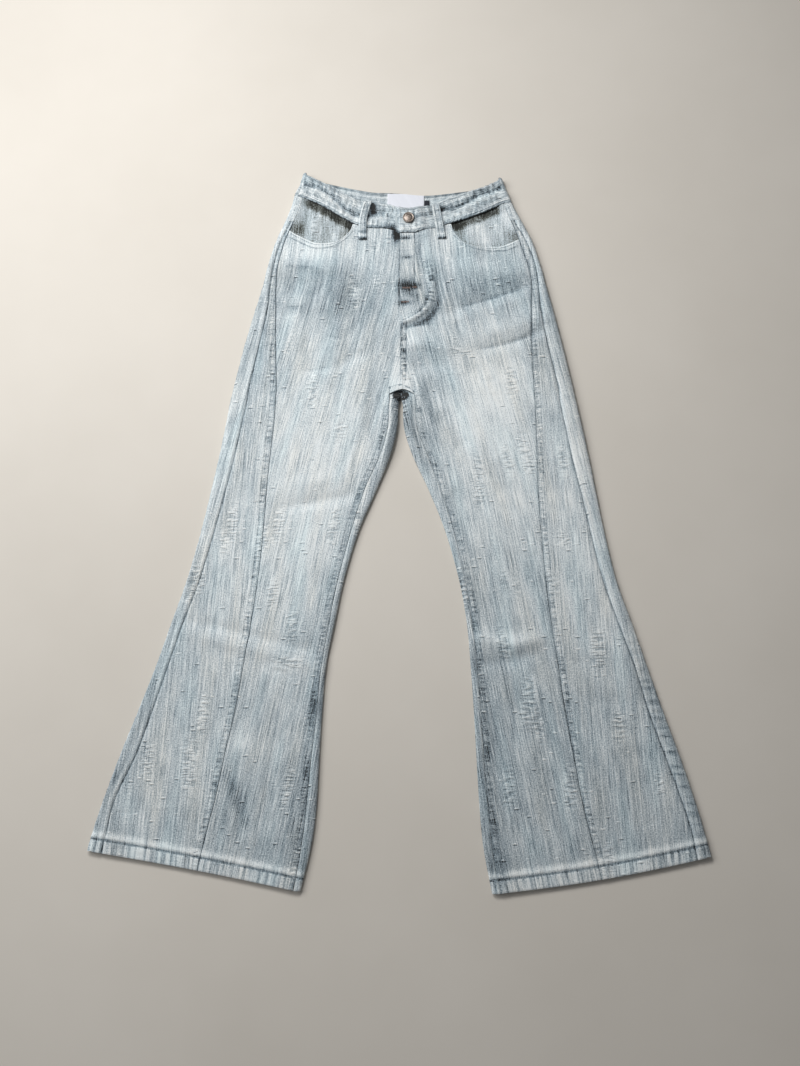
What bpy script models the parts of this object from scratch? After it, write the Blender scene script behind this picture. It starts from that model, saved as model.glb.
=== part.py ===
import bpy
import bmesh
import math


# Flared jeans laid face up. All dimensions below are millimetres, x across, y toward the waist.
MILLIMETRE = 0.001
CENTRE_SHIFT_Y = -2.2
CLOTH_WALL = 1.5
HEM_WALL = 2.6
HEM_PROUD = 0.4
BAND_WALL = 3.0
FACING_WALL = 1.1
LOOP_WALL = 1.5
LABEL_WALL = 1.0
HALF_SEAM = 0.15
LAYER_GAP = 0.35
FLY_RISE = 1.95
BAND_PROUD = 1.0
BAND_LAP_RISE = 3.4
BAND_ROLL = 6.0
YOKE_SIDE_Y = 443.0
YOKE_POINT_DROP = 62.0
YOKE_HALF_WIDTH = 168.0
TUCK_Y = 198
LIP_Y = 181
CROTCH_Y = 168
SCOOP_Y = 385
HEM_LEVEL = -495.0
CREASE_DEPTH = 1.3
LIP_DROP = 3.0
ROLL_STEPS = 6
BUTTON_CENTRE = (10.0, 444.5)

FRONT_COLOUR = (0.50, 0.56, 0.60)
SIDE_COLOUR = (0.42, 0.49, 0.54)
BAND_COLOUR = (0.52, 0.58, 0.62)
FACING_COLOUR = (0.33, 0.38, 0.41)
LABEL_COLOUR = (0.86, 0.87, 0.88)
TAB_COLOUR = (0.02, 0.02, 0.03)
BUTTON_COLOUR = (0.32, 0.24, 0.19)

# One row per section: y, outer edge, outseam, front seam, inseam, inner edge.
SECTIONS_RIGHT = [
    (-525, 425.0, 403.0, 272.0, 138.0, 129.0),
    (-470, 415.5, 395.0, 261.5, 129.0, 116.5),
    (-440, 408.4, 389.5, 255.0, 125.0, 111.5),
    (-400, 397.0, 381.0, 245.5, 121.5, 108.0),
    (-340, 377.5, 355.5, 235.0, 116.5, 106.0),
    (-280, 356.0, 336.0, 223.0, 111.0, 103.5),
    (-220, 335.0, 318.0, 214.0, 106.0, 99.3),
    (-160, 316.6, 299.5, 205.5, 96.5, 88.5),
    (-100, 298.0, 279.5, 198.0, 85.5, 77.0),
    (-30, 281.0, 261.5, 192.5, 68.0, 57.5),
    (30, 269.0, 247.5, 189.5, 50.0, 33.0),
    (80, 259.5, 237.0, 186.0, 28.5, 14.0),
    (120, 253.0, 229.5, 182.5, 18.0, 4.6),
    (160, 247.0, 222.5, 180.5, 16.0, 2.8),
    (181, 243.0, 219.5, 180.0, 16.0, 2.0),
    (250, 228.5, 206.5, 183.0, 16.0, 2.0),
    (300, 216.0, 197.5, 184.2, 16.0, 2.0),
    (340, 205.5, 194.0, 185.5, 17.0, 2.0),
    (370, 199.5, 190.0, 183.5, 18.0, 2.0),
    (410, 188.5, 180.0, 174.5, 20.0, 2.0),
    (443, 175.5, 165.5, 162.0, 22.0, 2.0),
    (468, 166.5, 159.0, 153.0, 22.0, 2.0),
    (490, 161.0, 153.0, 147.0, 22.0, 2.0),
    (505, 154.5, 148.0, 142.0, 22.0, 2.0),
    (525, 149.0, 143.0, 137.0, 22.0, 2.0),
]
SECTIONS_LEFT = [
    (-525, 426.0, 405.0, 276.0, 137.0, 127.0),
    (-470, 415.5, 396.0, 264.0, 127.5, 116.5),
    (-440, 408.5, 391.0, 256.5, 124.0, 112.5),
    (-400, 398.0, 380.0, 247.5, 120.5, 109.5),
    (-340, 380.0, 360.0, 237.5, 116.0, 106.2),
    (-280, 360.0, 340.0, 227.5, 112.5, 103.2),
    (-220, 341.0, 323.5, 219.5, 108.0, 99.2),
    (-160, 322.0, 303.0, 211.0, 101.5, 94.2),
    (-100, 302.5, 283.5, 204.5, 92.0, 83.8),
    (-30, 287.5, 267.5, 199.0, 76.5, 64.5),
    (30, 277.0, 255.0, 196.3, 57.5, 41.0),
    (80, 268.5, 244.0, 195.2, 39.0, 18.0),
    (120, 261.0, 236.5, 194.8, 24.5, 5.6),
    (160, 253.0, 229.0, 193.5, 21.5, 3.4),
    (181, 249.0, 227.0, 192.5, 20.0, 2.4),
    (250, 234.5, 213.0, 189.8, 20.0, 2.0),
    (300, 223.0, 205.0, 190.5, 20.0, 2.0),
    (340, 213.0, 201.0, 191.5, 20.0, 2.0),
    (370, 206.0, 197.5, 187.0, 20.0, 2.0),
    (410, 194.0, 184.0, 174.5, 22.0, 2.0),
    (443, 178.5, 167.0, 162.0, 24.0, 2.0),
    (468, 166.5, 159.5, 152.5, 24.0, 2.0),
    (490, 158.0, 151.0, 145.0, 24.0, 2.0),
    (505, 152.5, 146.0, 140.0, 24.0, 2.0),
    (525, 146.0, 140.0, 134.0, 24.0, 2.0),
]
OUTER, OUTSEAM, FRONT_SEAM, INSEAM, INNER = 1, 2, 3, 4, 5

# One row per section of the laid body: y, cloth height, outer roll width, inner roll width.
BODY_SECTIONS = [
    (-525, 7.6, 6.0, 6.0),
    (-470, 7.8, 7.0, 7.0),
    (-400, 7.4, 8.0, 8.0),
    (-280, 7.2, 8.5, 6.0),
    (-160, 7.6, 8.5, 5.5),
    (-60, 7.8, 9.0, 6.0),
    (30, 8.6, 9.5, 9.0),
    (100, 10.0, 10.0, 10.0),
    (160, 11.0, 10.0, 11.0),
    (220, 10.6, 10.0, 11.0),
    (300, 9.8, 8.0, 11.0),
    (370, 9.2, 5.5, 11.0),
    (430, 9.0, 6.0, 11.0),
    (525, 9.0, 5.0, 11.0),
]
HEIGHT, OUTER_ROLL, INNER_ROLL = 1, 2, 3

# One row per fold or trough: three points along it, its rise and its spread.
FOLDS = [
    (188, 357, 140, 362, 58, 374, 4.2, 12),
    (194, 343, 135, 325, 52, 299, -4.4, 12),
    (222, 296, 165, 268, 112, 257, 2.4, 11),
    (220, 276, 160, 247, 104, 234, -3.6, 12),
    (6, 264, 45, 259, 84, 244, 3.0, 12),
    (8, 224, 55, 223, 122, 194, -3.6, 14),
    (36, 192, 41, 150, 58, 108, -2.4, 8),
    (70, 32, 96, 14, 132, 0, -2.2, 14),
    (78, 88, 108, 76, 145, 62, 1.6, 12),
    (92, -180, 155, -190, 212, -176, 3.4, 11),
    (104, -216, 152, -212, 200, -200, -2.8, 10),
    (240, -255, 285, -268, 330, -262, -1.6, 14),
    (330, -178, 338, -235, 372, -325, -1.2, 8),
    (-188, 392, -148, 388, -98, 376, 3.2, 12),
    (-196, 368, -150, 352, -100, 330, -2.6, 13),
    (-150, 332, -100, 305, -52, 262, -2.4, 22),
    (-168, 300, -140, 296, -112, 282, 1.6, 10),
    (-160, 208, -110, 224, -42, 232, -2.2, 12),
    (-39, 198, -37, 160, -42, 108, -2.6, 8),
    (-172, 28, -110, 42, -52, 52, 1.8, 12),
    (-176, 0, -112, 13, -52, 24, -3.0, 9),
    (-306, -154, -200, -180, -98, -204, -2.6, 9),
    (-300, -172, -200, -198, -98, -224, 3.0, 10),
    (-234, -350, -217, -388, -200, -428, -2.4, 10),
    (-300, -300, -292, -330, -286, -362, -1.4, 12),
]

# One row per point of each long edge of the waistband: x, y.
BAND_LOWER = [
    (-170, 486), (-157, 483), (-144, 479), (-126, 471), (-108, 460.5), (-92, 450),
    (-77, 441), (-62, 434), (-48, 431), (-24, 430), (-11, 426.5), (-4, 422.5),
    (5, 422), (20, 422.5), (34, 427.5), (52, 431.5), (84, 442), (120, 455), (138, 463.5),
    (152, 469.5), (172, 472),
]
BAND_UPPER_FRONT = [
    (-155, 524), (-140, 516.5), (-126, 509.5), (-98, 495), (-74, 481), (-55, 474),
    (-38, 471), (-19, 469), (-6, 464.5), (2, 462), (14, 462), (30, 465),
    (46, 468), (67, 478), (84, 484), (100, 490), (120, 496), (140, 505.5), (155, 514),
]
BAND_UPPER_BACK = [
    (-155, 525), (-140, 517.5), (-126, 511), (-105, 505), (-84, 500), (-60, 495),
    (-42, 492), (-18, 491), (2, 489.5), (24, 487), (46, 487), (84, 491.5),
    (108, 495), (122, 499), (140, 507), (155, 515),
]
# The fly stitch bend: y, x.
FLY_BEND = [
    (272, 10), (286, 18), (300, 26), (312, 32), (325, 37), (340, 40), (372, 44), (421, 47),
]
# Column lines along the lower seam of the waistband, from its end to the side seam: x.
BAND_MARKS_RIGHT = [24, 5, -9, -25, -50, -73, -92, -110, -128, -148]
BAND_MARKS_LEFT = [-3, 10, 24, 50, 73, 90, 108, 126, 140, 151.7]
# Edge of each pocket scoop from the waistband to the side seam: x, y.
SCOOP_RIGHT = [(-79, 425), (-98, 410), (-126, 407.5), (-151, 418), (-167.5, 428)]
SCOOP_LEFT = [(79, 424), (93, 408), (120, 400), (148, 401), (173.6, 412)]

# Hidden lower edge of each pocket facing: distance from the centre, y.
FACING_LOW_RIGHT = [(60, 424), (79, 411), (98, 399), (126, 396), (151, 405), (180, 416)]
FACING_LOW_LEFT = [(60, 427), (79, 409), (98, 398), (126, 394), (150, 397), (180, 404)]
# Top and bottom end of each belt loop: x, y.
LOOP_RIGHT = ((-54.0, 473.0), (-58.0, 412.0))
LOOP_LEFT = ((50.0, 468.0), (60.0, 413.0))
LOOP_HALF_WIDTH = 6.0
# Left, right, lower and upper edge of the blank labels in the back waistband.
LABEL_PLACE = (-22.0, 33.0, 455.0, 489.0)
TAB_PLACE = (33.4, 41.0, 463.0, 478.0)
# Half section of the button: radius, rise.
BUTTON_PROFILE = [
    (0.0, 0.0), (4.2, 0.0), (4.2, 1.0), (7.6, 1.2), (8.5, 2.0), (8.3, 2.8),
    (7.2, 3.2), (6.4, 2.8), (4.0, 3.3), (0.0, 3.6),
]

# Row lines shared by all leg panels, from the yoke seam to the hem.
ROW_LINES = [
    443, 428, 412, 398, 385, 372, 360, 348, 336, 324, 312, 300, 286, 272, 258, 244, 230,
    215, 198, 181, 168, 155, 138, 115, 88, 60, 40, 26, 13, 0, -20, -60, -105, -145, -160,
    -175, -190, -205, -220, -245, -290, -340, -380, -415, -450, -477, -478.4, -495,
]
HEM_ROW = 46
TUCK_ROW = ROW_LINES.index(TUCK_Y)
LIP_ROW = ROW_LINES.index(LIP_Y)
CROTCH_ROW = ROW_LINES.index(CROTCH_Y)
SIDE_SIGN = {"right": -1, "left": 1}
SECTIONS = {"right": SECTIONS_RIGHT, "left": SECTIONS_LEFT}


def ease(value):
    """Smooth step between nought and one."""
    value = min(max(value, 0.0), 1.0)
    return value * value * (3 - 2 * value)


def mix(first, second, part):
    """Straight blend of two values."""
    return first + (second - first) * part


def look_up(table, column, at):
    """Smooth curve through one named column of a table ordered by its first column."""
    last = len(table) - 1
    if at <= table[0][0]:
        return table[0][column]
    if at >= table[last][0]:
        return table[last][column]
    index = 0
    while at > table[index + 1][0]:
        index += 1

    def slope(place):
        before = max(place - 1, 0)
        after = min(place + 1, last)
        return (table[after][column] - table[before][column]) / (table[after][0] - table[before][0])

    span = table[index + 1][0] - table[index][0]
    part = (at - table[index][0]) / span
    start = table[index][column]
    end = table[index + 1][column]
    square = part * part
    cube = square * part
    value = start * (2 * cube - 3 * square + 1) + end * (3 * square - 2 * cube)
    value += slope(index) * span * (cube - 2 * square + part)
    return value + slope(index + 1) * span * (cube - square)


def section(side, column, y):
    """Signed x of one edge or seam of a side at height y."""
    return SIDE_SIGN[side] * look_up(SECTIONS[side], column, y)


def side_of(x):
    """Wearer's side on which x lies."""
    return "left" if x > 0 else "right"


def fold_rise(x, y):
    """Sum of the folds and troughs at a point of the top cloth."""
    total = 0.0
    for x1, y1, x2, y2, x3, y3, rise, spread in FOLDS:
        if abs(y - y2) > abs(y3 - y1) / 2 + 3.2 * spread:
            continue
        near = 1e9
        near_part = 0.0
        for start, end, first in (((x1, y1), (x2, y2), 0.0), ((x2, y2), (x3, y3), 0.5)):
            along_x = end[0] - start[0]
            along_y = end[1] - start[1]
            length = along_x * along_x + along_y * along_y
            part = ((x - start[0]) * along_x + (y - start[1]) * along_y) / length
            part = min(max(part, 0.0), 1.0)
            gap = math.hypot(x - start[0] - part * along_x, y - start[1] - part * along_y)
            if gap < near:
                near = gap
                near_part = first + part / 2
        fade = ease(near_part / 0.22) * ease((1 - near_part) / 0.22)
        total += rise * (0.25 + 0.75 * fade) * math.exp(-(near / spread) ** 2)
    return total


def cloth_top(x, y):
    """Height of the top cloth of the laid jeans, without the rolled edges."""
    side = side_of(x)
    outer = abs(section(side, OUTER, y))
    inner = abs(section(side, INNER, y)) if y < LIP_Y else 0.0
    across = min(max((abs(x) - inner) / (outer - inner), 0.0), 1.0)
    sag = 0.13 * math.sin(math.pi * across) * ease((420 - y) / 60)
    if y > LIP_Y:
        sag *= 0.5
    height = look_up(BODY_SECTIONS, HEIGHT, y) * (1 - sag) + fold_rise(x, y)
    lip = LIP_DROP * math.exp(-((y - 180) / 5.0) ** 2) * ease((22 - abs(x - 2)) / 6)
    return max(height - lip, 2 * CLOTH_WALL + 0.6)


def fly_rise(x, y):
    """Lift of the overlapping front over the fly facing."""
    inside = min((look_up(FLY_BEND, 1, y) - x) / 8.0, (y - 272) / 13.0)
    return FLY_RISE * ease(inside)


def hem_edge(x):
    """Height y of the hem edge, which slants down toward the inside of each leg."""
    far = min(max((abs(x) - 125) / 290.0, 0.0), 1.0)
    return -518.5 + 50.5 * far - 5.0 * math.sin(math.pi * far) * (1 if x > 0 else -0.4)


def row_y(line, x):
    """Height y of a shared row line, which leans with the hem near the leg end."""
    lean = ease((-230 - line) / 245.0)
    return line + (hem_edge(x) - HEM_LEVEL) * lean


def seam_point(side, column, line):
    """Point where a row line meets a seam or edge."""
    x = section(side, column, line)
    for step in range(4):
        x = section(side, column, row_y(line, x))
    return x, row_y(line, x)


def wall_at(row):
    """Cloth wall of a row, doubled at the turned hem."""
    return HEM_WALL if row >= HEM_ROW else CLOTH_WALL


def proud_at(row):
    """Outward step of the turned hem."""
    return HEM_PROUD if row >= HEM_ROW else 0.0


def in_metres(x, y, z):
    """Point in metres, with the laid jeans centred on the origin."""
    return x * MILLIMETRE, (y + CENTRE_SHIFT_Y) * MILLIMETRE, z * MILLIMETRE


def make_material(name, colour, roughness, metallic):
    """Plain surface for one node."""
    material = bpy.data.materials.new(name)
    material.use_nodes = True
    shader = material.node_tree.nodes["Principled BSDF"]
    shader.inputs["Base Color"].default_value = (*colour, 1.0)
    shader.inputs["Roughness"].default_value = roughness
    shader.inputs["Metallic"].default_value = metallic
    return material


def finish_object(name, bm, colour, roughness=0.9, metallic=0.0):
    """Turn a finished mesh into a named object with its own material."""
    bmesh.ops.recalc_face_normals(bm, faces=bm.faces[:])
    mesh = bpy.data.meshes.new(name)
    bm.to_mesh(mesh)
    bm.free()
    part = bpy.data.objects.new(name, mesh)
    bpy.context.collection.objects.link(part)
    mesh.materials.append(make_material(name + "_surface", colour, roughness, metallic))
    return part


def cloth_shell(name, rows, columns, place, keep, colour, roughness=0.9):
    """Closed cloth wall over a grid of rows and columns; place gives its outer and inner points."""
    bm = bmesh.new()
    bmesh.ops.create_grid(bm, x_segments=columns, y_segments=rows, size=1.0)
    row_layer = bm.verts.layers.int.new("row")
    column_layer = bm.verts.layers.int.new("column")
    for vert in bm.verts:
        vert[row_layer] = round((1 - vert.co.y) * rows / 2)
        vert[column_layer] = round((1 + vert.co.x) * columns / 2)
    spare = []
    for face in bm.faces:
        row = min(vert[row_layer] for vert in face.verts)
        column = min(vert[column_layer] for vert in face.verts)
        if not keep(row, column):
            spare.append(face)
    bmesh.ops.delete(bm, geom=spare, context="FACES")
    outer_verts = bm.verts[:]
    grown = bmesh.ops.extrude_face_region(bm, geom=bm.faces[:])
    inner_verts = [item for item in grown["geom"] if isinstance(item, bmesh.types.BMVert)]
    for face_side, verts in enumerate((outer_verts, inner_verts)):
        for vert in verts:
            x, y, z = place(vert[row_layer], vert[column_layer])[face_side]
            vert.co = in_metres(x, y, z)
    return finish_object(name, bm, colour, roughness)


def keep_all(_row, _column):
    """Keep every cell."""
    return True


def band_corner(side, part):
    """Height y of the side edge of the waistband, from lower to upper seam."""
    low, high = (471.8, 512.0) if side == "left" else (485.4, 522.0)
    return mix(low, high, part)


def band_back_lower(x):
    """Hidden lower seam of the waistband on the back layer."""
    side = side_of(x)
    corner = band_corner(side, 0.0)
    reach = abs(section(side, OUTER, corner)) - BAND_ROLL
    return mix(449.0, corner, min(abs(x) / reach, 1.0))


def band_line(x, part, back):
    """Height y of a lengthwise line of the waistband."""
    if back:
        return mix(band_back_lower(x), look_up(BAND_UPPER_BACK, 1, x), part)
    return mix(look_up(BAND_LOWER, 1, x), look_up(BAND_UPPER_FRONT, 1, x), part)


def band_top(x, y, part, over):
    """Height of the outer face of the front waistband."""
    crease = CREASE_DEPTH * math.exp(-((part - 0.5) / 0.2) ** 2) * ease((abs(x) - 50) / 30)
    lap = BAND_LAP_RISE * ease((50 - x) / 26.0) if over else 0.0
    return cloth_top(x, min(y, 470)) + BAND_PROUD - crease + lap


def front_panel(side, colour):
    """Front leg panel from the waistband and pocket scoop to the hem."""
    sign = SIDE_SIGN[side]
    marks = BAND_MARKS_LEFT[:5] if side == "left" else BAND_MARKS_RIGHT[1:6]
    top_points = [(x, band_line(x, 0.0, False) - HALF_SEAM) for x in marks]
    top_points += SCOOP_LEFT if side == "left" else SCOOP_RIGHT
    first_row = 2 if side == "left" else 1
    columns = 9

    def centre_x(line):
        if side == "left":
            return mix(3 + HALF_SEAM, -3, ease((line - 286) / 14.0))
        return mix(3 - HALF_SEAM, 5, ease((line - 286) / 14.0))

    def plan(line, column):
        inner_x, inner_y = seam_point(side, INSEAM, line)
        outer_x, outer_y = seam_point(side, FRONT_SEAM, line)
        if column >= 2:
            start = inner_x + sign * HALF_SEAM if line < 190 else inner_x
            x = mix(start, outer_x - sign * HALF_SEAM, (column - 2) / (columns - 2))
            return x, row_y(line, x)
        x = mix(centre_x(line), inner_x, column / 2)
        return x, row_y(line, x)

    def place(row, column):
        line = ROW_LINES[row + first_row]
        x, y = plan(min(line, SCOOP_Y), column)
        if line > SCOOP_Y:
            part = (line - SCOOP_Y) / (ROW_LINES[first_row] - SCOOP_Y)
            x = mix(x, top_points[column][0], part)
            y = mix(y, top_points[column][1], part)
            if column == columns:
                x, y = seam_point(side, FRONT_SEAM, line)
                x -= sign * HALF_SEAM
        if row + first_row == LIP_ROW and column < 3:
            y = (181.2, 180.6, 179.0)[column]
        z = cloth_top(x, y) + proud_at(row + first_row)
        if side == "left":
            z += fly_rise(x, y)
        return (x, y, z), (x, y, z - wall_at(row + first_row))

    def keep(row, column):
        return column >= 2 or row + first_row < LIP_ROW

    return cloth_shell("front_" + side, len(ROW_LINES) - 1 - first_row, columns, place, keep, colour)


def side_panel(side, colour):
    """Long wedge between the front seam and the outseam, from the yoke seam to the hem."""
    sign = SIDE_SIGN[side]
    columns = 3

    def place(row, column):
        line = ROW_LINES[row]
        start = seam_point(side, FRONT_SEAM, line)[0] + sign * HALF_SEAM
        end = seam_point(side, OUTSEAM, line)[0] - sign * HALF_SEAM
        x = mix(start, end, column / columns)
        y = row_y(line, x) - (HALF_SEAM if row == 0 else 0.0)
        z = cloth_top(x, y) + proud_at(row)
        return (x, y, z), (x, y, z - wall_at(row))

    return cloth_shell("side_panel_" + side, len(ROW_LINES) - 1, columns, place, keep_all, colour)


def yoke_seam(x):
    """Height y of the yoke seam on the back layer, pointing down at the centre."""
    return YOKE_SIDE_Y - YOKE_POINT_DROP * max(1 - abs(x) / YOKE_HALF_WIDTH, 0.0)


def rolled_point(edge, inward, width, level, shoulder, angle, wall):
    """Outer and inner points of a rolled edge: x and z for an angle from under to top."""
    side = 1 - math.cos(angle)
    rise = (shoulder - level) * math.sin(angle) if angle > 0 else level * math.sin(angle)
    inner_width = max(width - wall, 0.0)
    inner_up = shoulder - wall - level
    inner_down = level - wall
    inner_rise = inner_up * math.sin(angle) if angle > 0 else inner_down * math.sin(angle)
    outer = (edge + inward * width * side, level + rise)
    inner = (edge + inward * (wall + inner_width * side), level + inner_rise)
    return outer, inner


def back_panel(side, colour):
    """Back leg panel: flat under layer, rolled edges and the strips carried over to the top."""
    sign = SIDE_SIGN[side]
    roll_start, flat, strip_out = 1, 3, 2
    half_turn = roll_start + ROLL_STEPS // 2
    flat_start = roll_start + ROLL_STEPS
    turn_start = flat_start + flat
    end_start = turn_start + ROLL_STEPS
    columns = end_start + strip_out

    def place(row, column):
        line = ROW_LINES[row]
        wall = wall_at(row)
        proud = proud_at(row)
        inner_x, inner_y = seam_point(side, INNER, line)
        outer_x, outer_y = seam_point(side, OUTER, line)
        seam_in = seam_point(side, INSEAM, line)[0] - sign * HALF_SEAM
        seam_out = seam_point(side, OUTSEAM, line)[0] + sign * HALF_SEAM
        inner_width = min(look_up(BODY_SECTIONS, INNER_ROLL, line), abs(seam_in - inner_x) - 1.0)
        outer_width = min(look_up(BODY_SECTIONS, OUTER_ROLL, line), abs(outer_x - seam_out) - 1.0)
        lower_width = inner_width
        sink = 0.0
        if row <= CROTCH_ROW:
            inner_x = sign * HALF_SEAM
            lower_width = 0.0
            sink = ease((line - 160) / 24.0)
        if column <= flat_start:
            if row <= LIP_ROW:
                inner_y = 179.4
            if row <= TUCK_ROW:
                inner_y = 186.5
            shoulder_x = inner_x + sign * inner_width
            y = inner_y if row <= LIP_ROW else row_y(line, shoulder_x)
            shoulder = mix(cloth_top(shoulder_x, y) + proud, 5.6, sink)
            level = mix(shoulder * 0.45, 4.0, sink)
            if column < roll_start:
                top = mix(cloth_top(seam_in, y) + proud, 6.2, sink)
                return (seam_in, y, top), (seam_in, y, top - wall)
            turn = (column - roll_start) / ROLL_STEPS
            angle = math.pi * (0.5 - turn)
            width = inner_width if angle > 0 else lower_width
            outer, inner = rolled_point(inner_x, sign, width, level, shoulder, angle, wall)
            if column == flat_start and row < CROTCH_ROW:
                outer = (sign * HALF_SEAM, 0.0)
                inner = (sign * HALF_SEAM, wall)
                y = line
        if column == flat_start or flat_start < column < turn_start:
            start = inner_x + sign * lower_width
            end = outer_x - sign * outer_width
            x = mix(start, end, (column - flat_start) / flat)
            y = row_y(line, x)
            if row < 12:
                y -= (YOKE_SIDE_Y - yoke_seam(x)) * (1 - row / 12)
            y -= HALF_SEAM if row == 0 else 0.0
            if column > flat_start or row < CROTCH_ROW:
                return (x, y, 0.0), (x, y, wall)
            return (outer[0], y, outer[1]), (inner[0], y, inner[1])
        if column < turn_start:
            return (outer[0], y, outer[1]), (inner[0], y, inner[1])
        y = outer_y - (HALF_SEAM if row == 0 else 0.0)
        shoulder_x = outer_x - sign * outer_width
        shoulder = cloth_top(shoulder_x, y) + proud
        level = shoulder * 0.47
        if column <= end_start:
            angle = math.pi * ((column - turn_start) / ROLL_STEPS - 0.5)
            outer, inner = rolled_point(outer_x, -sign, outer_width, level, shoulder, angle, wall)
            return (outer[0], y, outer[1]), (inner[0], y, inner[1])
        x = mix(shoulder_x, seam_out, (column - end_start) / strip_out)
        y = row_y(line, x) - (HALF_SEAM if row == 0 else 0.0)
        z = cloth_top(x, y) + proud
        return (x, y, z), (x, y, z - wall)

    def keep(row, column):
        if row >= CROTCH_ROW or column >= flat_start:
            return True
        return row >= TUCK_ROW and column < half_turn

    return cloth_shell("back_" + side, len(ROW_LINES) - 1, columns, place, keep, colour)


def yoke(side, colour):
    """Back yoke from the centre back round the side to the front seam."""
    sign = SIDE_SIGN[side]
    rows, flat = 3, 3
    end_start = flat + ROLL_STEPS
    low = YOKE_SIDE_Y + HALF_SEAM
    high = band_corner(side, 0.0) - HALF_SEAM

    def place(row, column):
        part = 1 - row / rows
        y = mix(low, high, part)
        edge = section(side, OUTER, y)
        seam = section(side, FRONT_SEAM, y)
        roll_width = min(look_up(BODY_SECTIONS, OUTER_ROLL, y), abs(edge - seam) - 2.0)
        width = mix(roll_width, BAND_ROLL, part)
        shoulder_x = edge - sign * width
        if column < flat:
            x = mix(sign * HALF_SEAM, shoulder_x, column / flat)
            y = mix(yoke_seam(x) + HALF_SEAM, band_back_lower(x) - HALF_SEAM, part)
            return (x, y, 0.0), (x, y, CLOTH_WALL)
        if column <= end_start:
            angle = math.pi * ((column - flat) / ROLL_STEPS - 0.5)
            shoulder = cloth_top(shoulder_x, y)
            outer, inner = rolled_point(edge, -sign, width, shoulder * 0.47, shoulder, angle, CLOTH_WALL)
            return (outer[0], y, outer[1]), (inner[0], y, inner[1])
        for step in range(4):
            x = section(side, FRONT_SEAM, y) + sign * HALF_SEAM
            y = mix(low, band_line(x, 0.0, False) - HALF_SEAM, part)
        z = cloth_top(x, y)
        return (x, y, z), (x, y, z - CLOTH_WALL)

    return cloth_shell("yoke_" + side, rows, end_start + 1, place, keep_all, colour)


def waistband(colour):
    """One strip from the tucked end round the back to the overlapping end."""
    rows, roll, half_back = 4, 4, 6
    first_turn = len(BAND_MARKS_RIGHT)
    back_start = first_turn + roll
    centre_back = back_start + half_back
    second_turn = centre_back + half_back
    over_start = second_turn + roll + 1
    columns = over_start + len(BAND_MARKS_LEFT) - 1

    def turned(side, part, angle):
        sign = SIDE_SIGN[side]
        y = band_corner(side, part) + (HALF_SEAM if part == 0 else 0.0)
        edge = section(side, OUTER, y)
        shoulder = band_top(corner_x(side, part), y, part, False)
        outer, inner = rolled_point(edge, -sign, BAND_ROLL, shoulder * 0.5, shoulder, angle, BAND_WALL)
        return (outer[0], y, outer[1]), (inner[0], y, inner[1])

    def corner_x(side, part):
        return section(side, OUTER, band_corner(side, part)) - SIDE_SIGN[side] * BAND_ROLL

    def front_x(side, mark, part):
        narrow = corner_x(side, part) / corner_x(side, 0.0)
        return mark * mix(1.0, narrow, ease((abs(mark) - 80) / 50))

    def place(row, column):
        part = 1 - row / rows
        if first_turn <= column < back_start:
            return turned("right", part, math.pi * (0.5 - (column - first_turn) / roll))
        if second_turn < column < over_start:
            return turned("left", part, math.pi * ((column - second_turn) / roll - 0.5))
        back = back_start <= column <= second_turn
        if column < first_turn:
            x = front_x("right", BAND_MARKS_RIGHT[column], part)
        elif column <= centre_back:
            x = mix(corner_x("right", part), 0.0, (column - back_start) / half_back)
        elif column <= second_turn:
            x = mix(0.0, corner_x("left", part), (column - centre_back) / half_back)
        else:
            x = front_x("left", BAND_MARKS_LEFT[columns - column], part)
            x -= 2.0 * part if column == columns else 0.0
        y = band_line(x, part, back) + (HALF_SEAM if row == rows else 0.0)
        if back:
            return (x, y, 0.0), (x, y, BAND_WALL)
        z = band_top(x, y, part, column >= over_start)
        return (x, y, z), (x, y, z - BAND_WALL)

    return cloth_shell("waistband", rows, columns, place, keep_all, colour)


def pocket_facing(side, colour):
    """Cloth seen inside the pocket opening, tucked under the front and the waistband."""
    sign = SIDE_SIGN[side]
    corner_y = SCOOP_RIGHT[-1][1] if side == "right" else SCOOP_LEFT[-1][1]
    low_points = FACING_LOW_RIGHT if side == "right" else FACING_LOW_LEFT
    rows, columns = 5, 6

    def place(row, column):
        part = 1 - row / rows
        x = sign * 100.0
        y = 440.0
        for step in range(6):
            far = section(side, FRONT_SEAM, y) - sign * 2 * HALF_SEAM
            x = mix(sign * 64.0, far, column / columns)
            high = look_up(BAND_LOWER, 1, x) + (5.0 if column < 5 else -0.4)
            y = mix(look_up(low_points, 1, abs(x)), high, part)
        flush = ease(column - 5) * ease((y - corner_y - 3) / 12)
        z = cloth_top(x, y) - mix(CLOTH_WALL + LAYER_GAP + 2.4 * ease(part * 1.3), 0.0, flush)
        return (x, y, z), (x, y, z - FACING_WALL)

    return cloth_shell("pocket_facing_" + side, rows, columns, place, keep_all, colour)


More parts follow.
